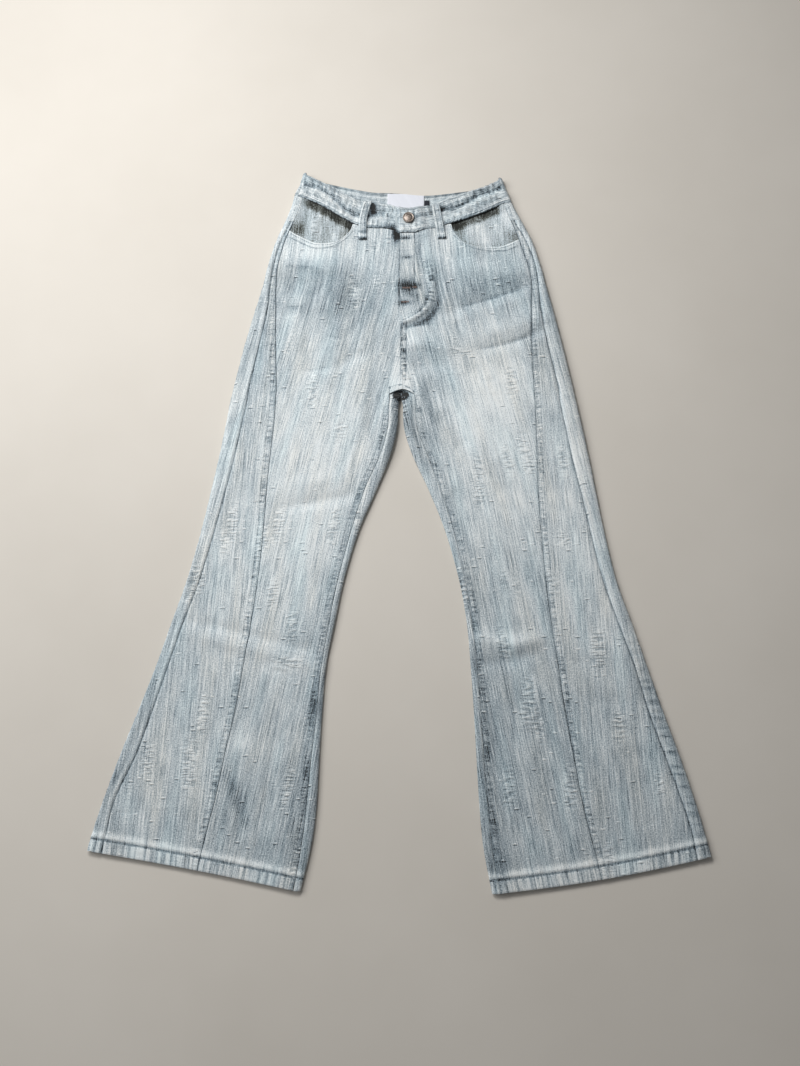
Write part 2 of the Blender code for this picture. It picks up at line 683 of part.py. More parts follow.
def belt_loop(side, colour):
    """Doubled strip sewn over the waistband at its top and below its lower seam."""
    (top_x, top_y), (low_x, low_y) = LOOP_LEFT if side == "left" else LOOP_RIGHT
    rows, columns = 9, 2

    def place(row, column):
        part = row / rows
        x = mix(top_x, low_x, part) + (column - 1) * LOOP_HALF_WIDTH
        y = mix(top_y, low_y, part)
        seam = look_up(BAND_LOWER, 1, x)
        upper = look_up(BAND_UPPER_FRONT, 1, x)
        over = side == "left"
        share = (y - seam) / (upper - seam)
        on_band = band_top(x, max(y, seam), min(max(share, 0.0), 1.0), over)
        on_panel = cloth_top(x, y) + (fly_rise(x, y) if over else 0.0)
        z = mix(on_panel, on_band, ease((y - seam + 9) / 9)) + LAYER_GAP + LOOP_WALL
        z += 1.2 * math.sin(math.pi * part)
        return (x, y, z), (x, y, z - LOOP_WALL)

    return cloth_shell("belt_loop_" + side, rows, columns, place, keep_all, colour)


def flat_label(name, edges, colour):
    """Blank woven label lying on the inside of the back waistband."""
    left, right, low, high = edges
    base = BAND_WALL + LAYER_GAP

    def place(row, column):
        x = mix(left, right, column / 4)
        y = mix(min(high, look_up(BAND_UPPER_BACK, 1, x) - 0.8), low, row / 2)
        return (x, y, base + LABEL_WALL), (x, y, base)

    return cloth_shell(name, 2, 4, place, keep_all, colour, 0.75)


def button():
    """Domed metal button with a turned rim, standing on the waistband overlap."""
    x, y = BUTTON_CENTRE
    seat = band_top(x, y, 0.5, True) + LAYER_GAP
    bm = bmesh.new()
    points = []
    for radius, rise in BUTTON_PROFILE:
        points.append(bm.verts.new((radius * MILLIMETRE, 0.0, rise * MILLIMETRE)))
    edges = [bm.edges.new(pair) for pair in zip(points, points[1:])]
    bmesh.ops.spin(
        bm,
        geom=points + edges,
        cent=(0, 0, 0),
        axis=(0, 0, 1),
        angle=2 * math.pi,
        steps=20,
        use_merge=True,
    )
    bmesh.ops.remove_doubles(bm, verts=bm.verts[:], dist=1e-5)
    bmesh.ops.translate(bm, verts=bm.verts[:], vec=in_metres(x, y, seat))
    return finish_object("button", bm, BUTTON_COLOUR, 0.4, 0.9)


for item in list(bpy.data.objects):
    bpy.data.objects.remove(item, do_unlink=True)

for wearer_side in ("left", "right"):
    front_panel(wearer_side, FRONT_COLOUR)
    side_panel(wearer_side, SIDE_COLOUR)
    back_panel(wearer_side, SIDE_COLOUR)
    yoke(wearer_side, SIDE_COLOUR)
    pocket_facing(wearer_side, FACING_COLOUR)
    belt_loop(wearer_side, BAND_COLOUR)
waistband(BAND_COLOUR)
flat_label("label", LABEL_PLACE, LABEL_COLOUR)
flat_label("size_tab", TAB_PLACE, TAB_COLOUR)
button()
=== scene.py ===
import bpy
import bmesh
import math
import numpy as np
from mathutils import Matrix, Vector


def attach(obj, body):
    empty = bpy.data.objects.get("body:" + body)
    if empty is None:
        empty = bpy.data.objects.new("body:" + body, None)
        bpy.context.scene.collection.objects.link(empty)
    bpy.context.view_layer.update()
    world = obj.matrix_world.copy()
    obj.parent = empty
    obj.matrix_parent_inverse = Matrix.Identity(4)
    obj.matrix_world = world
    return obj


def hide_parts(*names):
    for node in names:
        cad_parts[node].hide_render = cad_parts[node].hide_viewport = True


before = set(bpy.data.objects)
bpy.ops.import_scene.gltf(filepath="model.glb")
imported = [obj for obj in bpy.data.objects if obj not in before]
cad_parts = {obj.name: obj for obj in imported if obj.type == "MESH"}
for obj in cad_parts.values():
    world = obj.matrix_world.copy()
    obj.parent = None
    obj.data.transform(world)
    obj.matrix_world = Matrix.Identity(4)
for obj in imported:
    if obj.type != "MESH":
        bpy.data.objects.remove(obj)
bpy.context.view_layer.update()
print("frame loaded:", len(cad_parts), "nodes")

# Flared jeans laid face up. Lengths are millimetres until a mesh is written, x across, y to the waist.
millimetre = 0.001
centreShiftY = -2.2                      # from the y of the tables to the shared frame
halfSeam = 0.15                          # each panel stands this far back from its seams
left, right = 1, -1                      # the wearer's sides, as the sign of x
hemLine, stitchedHem = -495.0, -478.4
doubledHem, hemStep = -477.0, 1.4        # where the folded hem begins, and over what length
lipLine, tuckLine, crotchLine, scoopLine = 181.0, 198.0, 168.0, 385.0
waistLine = 443.0
bandSeat = 470.0                         # the cloth under the band is read no higher than this
flyStitch, centreStitch = 19.5, 8.0      # x of the straight rows beside the fly and below it

# y, outer edge, outseam, front seam, inseam, inner edge
sectionTable = {
    right: [
        (-525, 425.0, 403.0, 272.0, 138.0, 129.0), (-470, 415.5, 395.0, 261.5, 129.0, 116.5),
        (-440, 408.4, 389.5, 255.0, 125.0, 111.5), (-400, 397.0, 381.0, 245.5, 121.5, 108.0),
        (-340, 377.5, 355.5, 235.0, 116.5, 106.0), (-280, 356.0, 336.0, 223.0, 111.0, 103.5),
        (-220, 335.0, 318.0, 214.0, 106.0, 99.3), (-160, 316.6, 299.5, 205.5, 96.5, 88.5),
        (-100, 298.0, 279.5, 198.0, 85.5, 77.0), (-30, 281.0, 261.5, 192.5, 68.0, 57.5),
        (30, 269.0, 247.5, 189.5, 50.0, 33.0), (80, 259.5, 237.0, 186.0, 28.5, 14.0),
        (120, 253.0, 229.5, 182.5, 18.0, 4.6), (160, 247.0, 222.5, 180.5, 16.0, 2.8),
        (181, 243.0, 219.5, 180.0, 16.0, 2.0), (250, 228.5, 206.5, 183.0, 16.0, 2.0),
        (300, 216.0, 197.5, 184.2, 16.0, 2.0), (340, 205.5, 194.0, 185.5, 17.0, 2.0),
        (370, 199.5, 190.0, 183.5, 18.0, 2.0), (410, 188.5, 180.0, 174.5, 20.0, 2.0),
        (443, 175.5, 165.5, 162.0, 22.0, 2.0), (468, 166.5, 159.0, 153.0, 22.0, 2.0),
        (490, 161.0, 153.0, 147.0, 22.0, 2.0), (505, 154.5, 148.0, 142.0, 22.0, 2.0),
        (525, 149.0, 143.0, 137.0, 22.0, 2.0),
    ],
    left: [
        (-525, 426.0, 405.0, 276.0, 137.0, 127.0), (-470, 415.5, 396.0, 264.0, 127.5, 116.5),
        (-440, 408.5, 391.0, 256.5, 124.0, 112.5), (-400, 398.0, 380.0, 247.5, 120.5, 109.5),
        (-340, 380.0, 360.0, 237.5, 116.0, 106.2), (-280, 360.0, 340.0, 227.5, 112.5, 103.2),
        (-220, 341.0, 323.5, 219.5, 108.0, 99.2), (-160, 322.0, 303.0, 211.0, 101.5, 94.2),
        (-100, 302.5, 283.5, 204.5, 92.0, 83.8), (-30, 287.5, 267.5, 199.0, 76.5, 64.5),
        (30, 277.0, 255.0, 196.3, 57.5, 41.0), (80, 268.5, 244.0, 195.2, 39.0, 18.0),
        (120, 261.0, 236.5, 194.8, 24.5, 5.6), (160, 253.0, 229.0, 193.5, 21.5, 3.4),
        (181, 249.0, 227.0, 192.5, 20.0, 2.4), (250, 234.5, 213.0, 189.8, 20.0, 2.0),
        (300, 223.0, 205.0, 190.5, 20.0, 2.0), (340, 213.0, 201.0, 191.5, 20.0, 2.0),
        (370, 206.0, 197.5, 187.0, 20.0, 2.0), (410, 194.0, 184.0, 174.5, 22.0, 2.0),
        (443, 178.5, 167.0, 162.0, 24.0, 2.0), (468, 166.5, 159.5, 152.5, 24.0, 2.0),
        (490, 158.0, 151.0, 145.0, 24.0, 2.0), (505, 152.5, 146.0, 140.0, 24.0, 2.0),
        (525, 146.0, 140.0, 134.0, 24.0, 2.0),
    ],
}
outerEdge, outSeam, frontSeam, inSeam, innerEdge = 1, 2, 3, 4, 5

# y, cloth height, outer roll width, inner roll width
bodyTable = [
    (-525, 7.6, 6.0, 6.0), (-470, 7.8, 7.0, 7.0), (-400, 7.4, 8.0, 8.0), (-280, 7.2, 8.5, 6.0),
    (-160, 7.6, 8.5, 5.5), (-60, 7.8, 9.0, 6.0), (30, 8.6, 9.5, 9.0), (100, 10.0, 10.0, 10.0),
    (160, 11.0, 10.0, 11.0), (220, 10.6, 10.0, 11.0), (300, 9.8, 8.0, 11.0), (370, 9.2, 5.5, 11.0),
    (430, 9.0, 6.0, 11.0), (525, 9.0, 5.0, 11.0),
]
clothHeight, outerRoll, innerRoll = 1, 2, 3

# large folds: three points, rise, spread, and the spread below where that side is steeper
foldTable = [
    (188, 347, 140, 361, 58, 370, 4.6, 12, 20), (193, 343, 125, 317, 54, 294, -4.6, 15, 9),
    (222, 296, 165, 272, 112, 262, 2.0, 11), (222, 275, 160, 249, 104, 237, -3.4, 12, 8),
    (6, 246, 40, 247, 92, 238, 3.0, 15, 8), (8, 212, 60, 214, 128, 190, -3.6, 16, 10),
    (38, 190, 48, 150, 66, 118, -2.4, 8), (60, 152, 76, 118, 98, 84, -2.4, 9),
    (70, 32, 96, 14, 132, 0, -2.2, 14), (182, 306, 160, 300, 140, 308, -1.4, 8),
    (78, 88, 108, 76, 145, 62, 1.6, 12), (92, -180, 155, -190, 212, -176, 3.4, 11),
    (104, -216, 152, -212, 200, -200, -2.8, 10), (240, -255, 285, -268, 330, -262, -1.6, 14),
    (330, -178, 338, -235, 372, -325, -1.2, 8), (-180, 372, -140, 369, -94, 361, 4.0, 12, 7),
    (-194, 350, -150, 344, -100, 338, -2.4, 9, 16), (-56, 358, -84, 315, -110, 262, -2.8, 11),
    (-126, 336, -140, 300, -152, 262, -1.6, 8), (-174, 326, -152, 319, -134, 306, 1.8, 8),
    (-150, 206, -95, 212, -44, 239, -2.6, 12, 8), (-39, 198, -37, 160, -42, 108, -2.6, 8),
    (-172, 28, -110, 42, -52, 52, 1.8, 12),
    (-176, 0, -112, 13, -52, 24, -3.0, 9), (-306, -154, -200, -180, -98, -204, -2.6, 9),
    (-300, -172, -200, -198, -98, -224, 3.0, 10), (-234, -350, -217, -388, -200, -428, -2.4, 10),
    (-300, -300, -292, -330, -286, -362, -1.4, 12),
]

# small creases: three points, rise, spread
creaseTable = [
    (-306, -163, -200, -188, -98, -212, 0.9, 3.0), (-178, -221, -165, -222, -150, -227, 1.0, 2.0),
    (-142, -195, -136, -198, -129, -202, -1.0, 2.0), (-170, -226, -158, -231, -146, -240, -0.8, 4.0),
    (-380, -417, -364, -419, -348, -413, -0.9, 2.5), (-332, -410, -318, -412, -303, -408, 0.8, 2.0),
    (-222, -486, -216, -470, -208, -450, 1.0, 2.6), (-214, -488, -207, -470, -200, -452, -0.9, 3.0),
    (-196, -456, -186, -462, -176, -470, -0.7, 4.0), (-300, -420, -288, -428, -270, -432, -0.5, 4.0),
    (-250, -120, -226, -128, -204, -132, -0.5, 5.0), (-290, -215, -262, -228, -236, -232, 0.5, 5.0),
    (-176, 318, -150, 306, -118, 300, 0.7, 4.0), (-184, 336, -160, 330, -136, 318, -0.7, 4.0),
    (-192, 366, -170, 362, -150, 352, 0.8, 4.0), (-128, 342, -104, 330, -84, 310, 0.6, 5.0),
    (-158, 262, -134, 256, -108, 258, 0.5, 4.5), (-172, 240, -140, 232, -108, 238, -0.5, 5.0),
    (-84, 288, -70, 270, -58, 250, 0.6, 4.0), (-140, 150, -112, 158, -78, 156, -0.5, 6.0),
    (-62, 120, -68, 90, -84, 62, -0.6, 5.0), (-30, 214, -28, 196, -30, 178, 0.6, 3.0),
    (96, 402, 112, 392, 140, 388, -0.7, 4.0), (70, 392, 78, 372, 84, 350, 0.6, 4.0),
    (186, 330, 150, 316, 108, 300, -0.9, 4.0), (178, 352, 160, 350, 128, 340, -0.8, 4.0),
    (214, 286, 176, 262, 132, 250, 0.7, 4.0), (96, 290, 80, 284, 62, 286, 0.5, 4.0),
    (20, 246, 48, 240, 82, 230, 0.7, 4.0), (30, 210, 52, 206, 84, 200, 0.7, 4.0),
    (104, 182, 128, 174, 150, 176, 0.5, 4.0), (66, 150, 78, 128, 88, 104, -0.6, 5.0),
    (120, 112, 148, 102, 176, 106, -0.5, 5.0), (86, 54, 120, 42, 160, 40, 0.6, 5.0),
    (150, -60, 178, -68, 200, -64, -0.5, 5.0), (108, -176, 128, -180, 150, -184, 0.7, 3.0),
    (214, -206, 240, -214, 268, -212, -0.6, 5.0), (130, -300, 160, -310, 196, -306, -0.5, 6.0),
    (250, -320, 284, -330, 318, -326, 0.5, 6.0), (300, -420, 330, -428, 352, -420, -0.5, 4.0),
    (276, -462, 288, -452, 296, -440, 0.8, 3.0), (150, -420, 170, -432, 196, -430, -0.5, 5.0),
    (192, 340, 138, 321, 78, 304, -1.5, 2.6, 1.5), (160, 331, 136, 323, 118, 318, -0.8, 2.4, 1.5),
    (196, 264, 160, 250, 106, 238, -1.4, 2.6, 1.5), (-150, 207, -122, 208, -98, 215, -0.7, 2.4, 1.6),
    (-110, 262, -98, 259, -84, 255, -1.2, 2.0, 1.4), (-72, 240, -64, 241, -52, 239, 1.1, 1.6, 1.6),
    (62, 205, 80, 203, 96, 207, 0.8, 1.6, 1.6), (104, 196, 122, 191, 140, 194, -0.7, 2.2, 1.6),
    (168, 113, 176, 112, 184, 113, -1.0, 1.6, 1.6), (-170, 306, -155, 303, -140, 309, -1.2, 3.0, 1.8),
    (-176, 370, -150, 367, -120, 366, -1.0, 2.4, 2.0),
    (-232, -360, -213, -407, -195, -447, -1.5, 10, 7),
]

# x and y of the seam under the band, then of its upper edge at the front and at the back
bandLowerTable = [
    (-170, 486), (-157, 483), (-144, 479), (-126, 471), (-108, 460.5), (-92, 450),
    (-77, 441), (-62, 434), (-48, 431), (-24, 430), (-11, 426.5), (-4, 422.5), (5, 422),
    (20, 422.5), (34, 427.5), (52, 431.5), (84, 442), (120, 455), (138, 463.5), (152, 469.5),
    (172, 472),
]
bandFrontTable = [
    (-155, 524), (-140, 516.5), (-126, 509.5), (-98, 495), (-74, 481), (-55, 474), (-38, 471),
    (-19, 469), (-6, 464.5), (2, 462), (14, 462), (30, 465), (46, 468), (67, 478), (84, 484),
    (100, 490), (120, 496), (140, 505.5), (155, 514),
]
bandBackTable = [
    (-155, 525), (-140, 517.5), (-126, 511), (-105, 505), (-84, 500), (-60, 495), (-42, 492),
    (-18, 491), (2, 489.5), (24, 487), (46, 487), (84, 491.5), (108, 495), (122, 499),
    (140, 507), (155, 515),
]
# y and x of the curved edge of the fly facing
flyBend = [
    (268, -8), (275, 2), (279, 14), (284, 24), (290, 33), (299, 42), (310, 47.5), (325, 51),
    (345, 52), (372, 50), (421, 46),
]
# x of the marks along the front of the band, from its end to the side
bandMarks = {
    right: [24, 5, -9, -25, -50, -73, -92, -110, -128, -148],
    left: [-3, 10, 24, 50, 73, 90, 108, 126, 140, 151.7],
}
# x and y along the rim of each pocket scoop
scoop = {
    right: [(-79, 425), (-98, 410), (-126, 407.5), (-151, 418), (-167.5, 428)],
    left: [(79, 424), (93, 408), (120, 400), (148, 401), (173.6, 412)],
}
# rows of the leg panels, from the waist to the hem
rowLines = [
    443, 428, 412, 398, 385, 372, 360, 348, 336, 324, 312, 300, 286, 272, 258, 244, 230, 215,
    198, 181, 168, 155, 138, 115, 88, 60, 40, 26, 13, 0, -20, -60, -105, -145, -160, -175,
    -190, -205, -220, -245, -290, -340, -380, -415, -450, -477, -478.4, -495,
]


def ease(value):
    value = np.clip(value, 0.0, 1.0)
    return value * value * (3 - 2 * value)


def mix(first, second, part):
    return first + (second - first) * part


def bell(distance, spread):
    return np.exp(-(distance / spread) ** 2)


def readCurve(table, column, at):            # smooth curve through one column of a table
    data = np.asarray(table, float)
    keys, values = data[:, 0], data[:, column]
    slopes = np.empty(len(keys))
    slopes[1:-1] = (values[2:] - values[:-2]) / (keys[2:] - keys[:-2])
    slopes[0] = (values[1] - values[0]) / (keys[1] - keys[0])
    slopes[-1] = (values[-1] - values[-2]) / (keys[-1] - keys[-2])
    at = np.clip(np.asarray(at, float), keys[0], keys[-1])
    spot = np.clip(np.searchsorted(keys, at, side="right") - 1, 0, len(keys) - 2)
    span = keys[spot + 1] - keys[spot]
    part = (at - keys[spot]) / span
    square, cube = part ** 2, part ** 3
    value = values[spot] * (2 * cube - 3 * square + 1) + values[spot + 1] * (3 * square - 2 * cube)
    value = value + slopes[spot] * span * (cube - 2 * square + part)
    return value + slopes[spot + 1] * span * (cube - square)


def sectionX(side, column, y):
    return side * readCurve(sectionTable[side], column, y)


def bothSides(column, x, y):                 # distance of an edge or seam from the centre
    return np.where(x > 0, readCurve(sectionTable[left], column, y),
                    readCurve(sectionTable[right], column, y))


def pathGap(x, y, points):                   # distance from a bent line, share along it, and which side
    near = np.full(np.shape(x), 1e9)
    share, above = np.zeros(np.shape(x)), np.ones(np.shape(x))
    for start, end, first in ((points[0:2], points[2:4], 0.0), (points[2:4], points[4:6], 0.5)):
        alongX, alongY = end[0] - start[0], end[1] - start[1]
        part = ((x - start[0]) * alongX + (y - start[1]) * alongY) / (alongX ** 2 + alongY ** 2)
        part = np.clip(part, 0.0, 1.0)
        gap = np.hypot(x - start[0] - part * alongX, y - start[1] - part * alongY)
        closer = gap < near
        near = np.where(closer, gap, near)
        share = np.where(closer, first + part / 2, share)
        cross = (alongX * (y - start[1]) - alongY * (x - start[0])) * (1 if alongX > 0 else -1)
        above = np.where(closer, cross, above)
    return near, share, above


def foldRise(table, x, y, ends):
    total = np.zeros(np.shape(x))
    for row in table:
        near, share, above = pathGap(x, y, row[:6])
        fade = ease(share / 0.22) * ease((1 - share) / 0.22)
        spread = row[7] if len(row) < 9 else np.where(above > 0, row[7], row[8])
        total += row[6] * (ends + (1 - ends) * fade) * bell(near, spread)
    return total


def clothTop(x, y):                          # the top cloth without its rolled edges
    outer = bothSides(outerEdge, x, y)
    seat = ease((y - 165) / 40)
    inner = bothSides(innerEdge, x, y) * (1 - seat)
    across = np.clip((np.abs(x) - inner) / (outer - inner), 0.0, 1.0)
    sag = 0.13 * np.sin(math.pi * across) * ease((420 - y) / 60) * mix(1.0, 0.5, seat)
    height = readCurve(bodyTable, clothHeight, y) * (1 - sag) + foldRise(foldTable, x, y, 0.25)
    lip = 1.2 * bell(y - 178, 4.0) * ease((22 - np.abs(x - 2)) / 6)
    edge = bothSides(innerEdge, x, y)
    height = height + 3.6 * bell(np.abs(x) - edge - 8, 7) * ease((y - 40) / 60) * ease((176 - y) / 16)
    return np.maximum(height - lip, 3.6)


def flyGap(x, y):                            # distance inside the curved edge of the fly facing
    slope = readCurve(flyBend, 1, y + 0.5) - readCurve(flyBend, 1, y - 0.5)
    return (readCurve(flyBend, 1, y) - x) / np.sqrt(1 + slope ** 2)


def flyRise(x, y):
    return 1.95 * ease(flyGap(x, y) / 7.0) * ease((y - 272) / 10.0)


def hemEdge(x):
    far = np.clip((np.abs(x) - 125) / 290.0, 0.0, 1.0)
    return -518.5 + 50.5 * far - 5.0 * np.sin(math.pi * far) * np.where(x > 0, 1.0, -0.4)


def rowY(line, x):
    return line + (hemEdge(x) - hemLine) * ease((-230 - line) / 245.0)


def seamX(side, column, line):
    x = sectionX(side, column, line)
    for step in range(4):
        x = sectionX(side, column, rowY(line, x))
    return x


def bandLower(x):
    return readCurve(bandLowerTable, 1, x)


bandRoll = 6.0
cornerLow, cornerHigh = {left: 471.8, right: 485.4}, {left: 512.0, right: 522.0}
backLowest = 449.0                       # lower edge of the back of the band at the centre


def bandCorner(side, part):                  # height of the band where it turns to the back
    return mix(cornerLow[side], cornerHigh[side], part)


def bandBackLower(x):
    reach = np.where(x > 0, sectionX(left, outerEdge, cornerLow[left]) - bandRoll,
                     -sectionX(right, outerEdge, cornerLow[right]) - bandRoll)
    corner = np.where(x > 0, cornerLow[left], cornerLow[right])
    return mix(backLowest, corner, np.minimum(np.abs(x) / reach, 1.0))


# small relief in millimetres, laid on the main form
def wander(along, seed, lengths=(37.0, 13.0, 5.3)):      # smooth uneven number from -1 to 1
    total = np.zeros(np.shape(along))
    for index, length in enumerate(lengths):
        total += np.sin(along * 2 * math.pi / length + seed * (1.7 + index) + index * 2.1) / (index + 1.3)
    return total / 1.9


def pucker(along, pitch, seed):              # rungs of drawn-in cloth along a seam, uneven
    phase = along / pitch + 0.55 * wander(along, seed, (61.0, 23.0, 9.7))
    strength = 0.6 + 0.4 * wander(along, seed + 4.0, (90.0, 31.0, 17.0))
    return np.sin(2 * math.pi * phase) * np.clip(strength, 0.15, 1.1)


seamSettings = {
    "innerStitch": 1.7, "outerStitch": 8.0, "lapWidth": 10.5, "lapRise": 0.45, "groove": 0.3,
    "puckerPitch": 5.6, "puckerRise": 0.5, "outGroove": 1.15, "hemStitch": 17.3, "ropePitch": 8.5,
    "ropeRise": 0.6, "crestRise": 1.1,
}


def lap(distance, along, seed, rise=1.0):    # doubled edge on top of a seam with two stitch rows
    s = seamSettings
    body = s["lapRise"] * ease(distance / 0.9) * ease((s["lapWidth"] + 2.5 - distance) / 3.5)
    rows = bell(distance - s["innerStitch"], 0.8) + bell(distance - s["outerStitch"], 0.8)
    strip = ease((distance - 0.8) / 1.5) * ease((s["lapWidth"] + 2.0 - distance) / 4.0)
    between = 0.55 + 0.45 * bell(distance - 5.0, 3.2)
    ladder = s["puckerRise"] * pucker(along, s["puckerPitch"], seed) * strip * between
    return np.where(distance > -0.5, body - s["groove"] * rows + ladder * rise, 0.0)


def hemRelief(x, y, seed):
    s = seamSettings
    up = y - hemEdge(x)
    inHem = ease((s["hemStitch"] + 0.6 - up) / 1.2)
    rope = s["ropeRise"] * pucker(x + up * 0.45, s["ropePitch"], seed) * bell(up - 8.5, 9.0)
    crest = s["crestRise"] * bell(up - s["hemStitch"] - 4.2, 3.2)
    crest = crest * (0.8 + 0.6 * pucker(x, 11.0, seed + 2))
    groove = -1.1 * bell(up - s["hemStitch"], 1.4)
    tuck = 0.35 * pucker(x, 9.0, seed + 5) * bell(up - s["hemStitch"] - 2, 6.0)
    edge = -1.1 * (1 - np.sqrt(np.clip(1 - (1 - np.clip(up / 2.2, 0, 1)) ** 2, 0, 1)))
    near = ease((40 - up) / 10.0)
    return (rope * inHem + (crest + tuck) * (1 - inHem) + groove + edge) * near


def lappedGap(x, y):                         # flyGap on the lapped side, far outside elsewhere
    return np.where(x > 1.5, flyGap(x, y), -40.0)


def centreSeam(y):                           # 1 beside the short seam between fly and crotch
    return ease((284 - y) / 8) * ease((y - 188) / 3)


def aroundCrotch(x):
    return ease((22 - np.abs(x - 1)) / 6)


def crotchArc(x):                            # stitched curve just above the crotch opening
    return 185.0 - 5.0 * ((x + 2) / 15.0) ** 2


def flyRelief(x, y):
    gap = lappedGap(x, y)
    upper = ease((y - 270) / 8)
    total = 1.7 * bell(gap - 6, 4.5) * upper * ease((390 - y) / 60)
    total -= 1.5 * bell(gap + 5, 5.5) * ease((y - 262) / 8) * ease((380 - y) / 50)
    total -= 0.4 * (bell(gap - 2.5, 0.9) + bell(gap - 11.0, 1.0)) * upper
    total += 0.35 * pucker(y + x, 6.5, 47.0) * bell(gap - 7, 4.5) * upper
    placket = ease((x + 2) / 3) * ease((20 - x) / 3) * ease((y - 296) / 10)
    total += 0.5 * pucker(y + 0.25 * x, 15.0, 43.0) * placket
    total -= 0.7 * bell(x - flyStitch, 1.0) * ease((y - 300) / 8)
    lower = centreSeam(y)
    total += (0.35 * bell(x - 4.0, 4.0) - 0.5 * (bell(x, 0.8) + bell(x - centreStitch, 0.8))) * lower
    total += 0.5 * pucker(y, 5.2, 45.0) * bell(x - 4.0, 3.5) * lower
    arc = y - crotchArc(x)
    total += (0.5 * bell(arc + 4.0, 3.0) - 0.3 * bell(arc, 0.8)) * aroundCrotch(x)
    return total


def seamGaps(x, y):                          # how far outside the front seam, outseam and inseam
    return [np.abs(x) - bothSides(seam, x, y) for seam in (frontSeam, outSeam, inSeam)]


def relief(zone, x, y):                      # what lies on the main form of one zone of the top cloth
    frontGap, outGap, inGap = seamGaps(x, y)
    sign = np.where(x > 0, 1.0, -1.0)
    total = foldRise(creaseTable, x, y, 0.1)
    slack = 0.16 * wander(x * 0.9 + y * 0.25, 1.0, (31.0, 17.0, 11.0))
    slack = slack * wander(y - x * 0.3, 2.0, (47.0, 19.0, 12.0))
    total += slack * ease((480 - y) / 30)
    lower = ease((186 - y) / 8)
    if zone == "front":
        total -= 0.75 * bell(frontGap, 1.4)
        total += lap(inGap, y, 3.0 + sign) * lower
        total += flyRelief(x, y)
    if zone == "side":
        wide = ease((bothSides(outSeam, x, y) - bothSides(frontSeam, x, y) - 5) / 14)
        total += lap(frontGap, y, 7.0 + sign) * mix(0.45, 1.0, wide)
        total -= seamSettings["outGroove"] * bell(outGap, 1.9) * mix(0.6, 1.0, wide)
        total += 0.3 * pucker(y, 7.5, 11.0 + sign) * bell(outGap + 3.5, 3.0) * wide
    if zone == "outer":
        rough = np.where(x > 0, bell(y + 255, 75) + 0.4, 0.35 + 0.3 * bell(y - 380, 60))
        total -= seamSettings["outGroove"] * bell(outGap, 1.7)
        total += 0.35 * bell(outGap - 4.5, 2.4)
        total += 0.55 * rough * pucker(y, 14.0, 15.0 + sign) * ease((outGap - 1.5) / 4)
    if zone == "inner":
        total -= 0.6 * bell(inGap, 1.3)
    if zone != "yoke":
        total += hemRelief(x, y, 20.0 + sign)
    return total


def doubled(line):                           # 0 above the folded hem, 1 in it
    return np.clip((doubledHem - line) / hemStep, 0.0, 1.0)


def proud(line):
    return 0.4 * doubled(line)


def topHeight(zone, side, x, y):             # finished top surface, also read by the sewing
    z = clothTop(x, y) + relief(zone, x, y)
    if zone == "front" and side == left:
        z = z + flyRise(x, y)
    return z


# wear painted on the points, from blue grey at 0 to bare white at 1: y, wear
wearTable = [
    (-525, 0.56), (-460, 0.56), (-380, 0.55), (-300, 0.56), (-220, 0.60), (-150, 0.66), (-70, 0.72),
    (0, 0.77), (80, 0.80), (150, 0.78), (210, 0.72), (270, 0.66), (330, 0.59), (385, 0.66),
    (440, 0.70), (525, 0.66),
]
# x, y, half width, half height, change: spots of wear, and of painted shade beside the folds
wearAndShadeSpots = [
    (-116, 90, 50, 100, 0.08), (116, 150, 50, 90, 0.18), (-120, -60, 60, 60, 0.13),
    (-100, 330, 60, 50, -0.21), (110, 330, 60, 34, -0.10), (-150, 396, 45, 16, 0.22),
    (104, 386, 34, 12, -0.14), (150, 344, 40, 12, -0.12), (110, 60, 50, 60, -0.08),
    (-44, 190, 14, 60, -0.12), (46, 190, 14, 60, -0.12), (-215, -324, 11, 12, 0.30),
    (-145, -222, 45, 10, 0.16),
    (150, -182, 50, 10, 0.15), (-216, -392, 14, 34, -0.16), (155, -212, 45, 10, -0.10),
    (-300, -345, 16, 40, 0.12), (-60, 262, 14, 40, 0.01), (30, 270, 40, 14, 0.04),
    (160, -60, 60, 90, -0.04), (-20, 300, 14, 60, -0.05), (-200, -260, 130, 170, 0.11),
    (230, -330, 120, 110, -0.04), (78, 112, 16, 36, -0.14), (60, 190, 50, 22, -0.10),
    (35, 232, 34, 12, -0.12), (-90, 300, 22, 44, -0.10), (-154, 316, 13, 9, 0.16), (-160, 290, 12, 9, 0.12),
    (160, 210, 40, 30, 0.06), (50, 118, 22, 46, -0.22), (-330, -420, 50, 50, 0.10), (250, -100, 26, 60, 0.08),
    (330, -400, 60, 60, 0.06), (-60, 120, 16, 40, -0.05), (60, 288, 30, 9, 0.06), (-234, 200, 10, 60, -0.10),
    (270, -230, 110, 240, 0.07), (-262, 60, 12, 90, -0.08), (250, 80, 14, 90, 0.06),
    (200, -450, 40, 40, 0.06), (180, 40, 60, 200, 0.03), (-230, 120, 30, 120, -0.05),
    (-100, 392, 40, 12, 0.06),
]
# the same for the fly: dark tacks, seams, the dyed strip beside the straight stitching, and painted shadow
# under the end of the band and outside the curved edge
flyMarksAndShade = [
    (7, 337, 12, 11, -0.78), (22, 338, 7, 5, -0.5), (5, 311, 9, 4.5, -0.7), (9, 383, 8, 2.4, -0.6),
    (6, 414, 8, 2.6, -0.9), (26, 398, 5, 28, -0.34), (-9, 421, 5, 13, -1.3), (10, 365, 8, 14, 0.06),
    (14, 322, 12, 3, -0.22), (24, 318, 4, 10, -0.25), (56, 352, 14, 26, -0.14), (74, 330, 18, 22, -0.10),
    (9, 398, 8, 8, 0.08), (60, 390, 20, 12, 0.06), (12, 196, 5, 12, 0.14), (20, 417, 16, 2.0, -0.15),
]
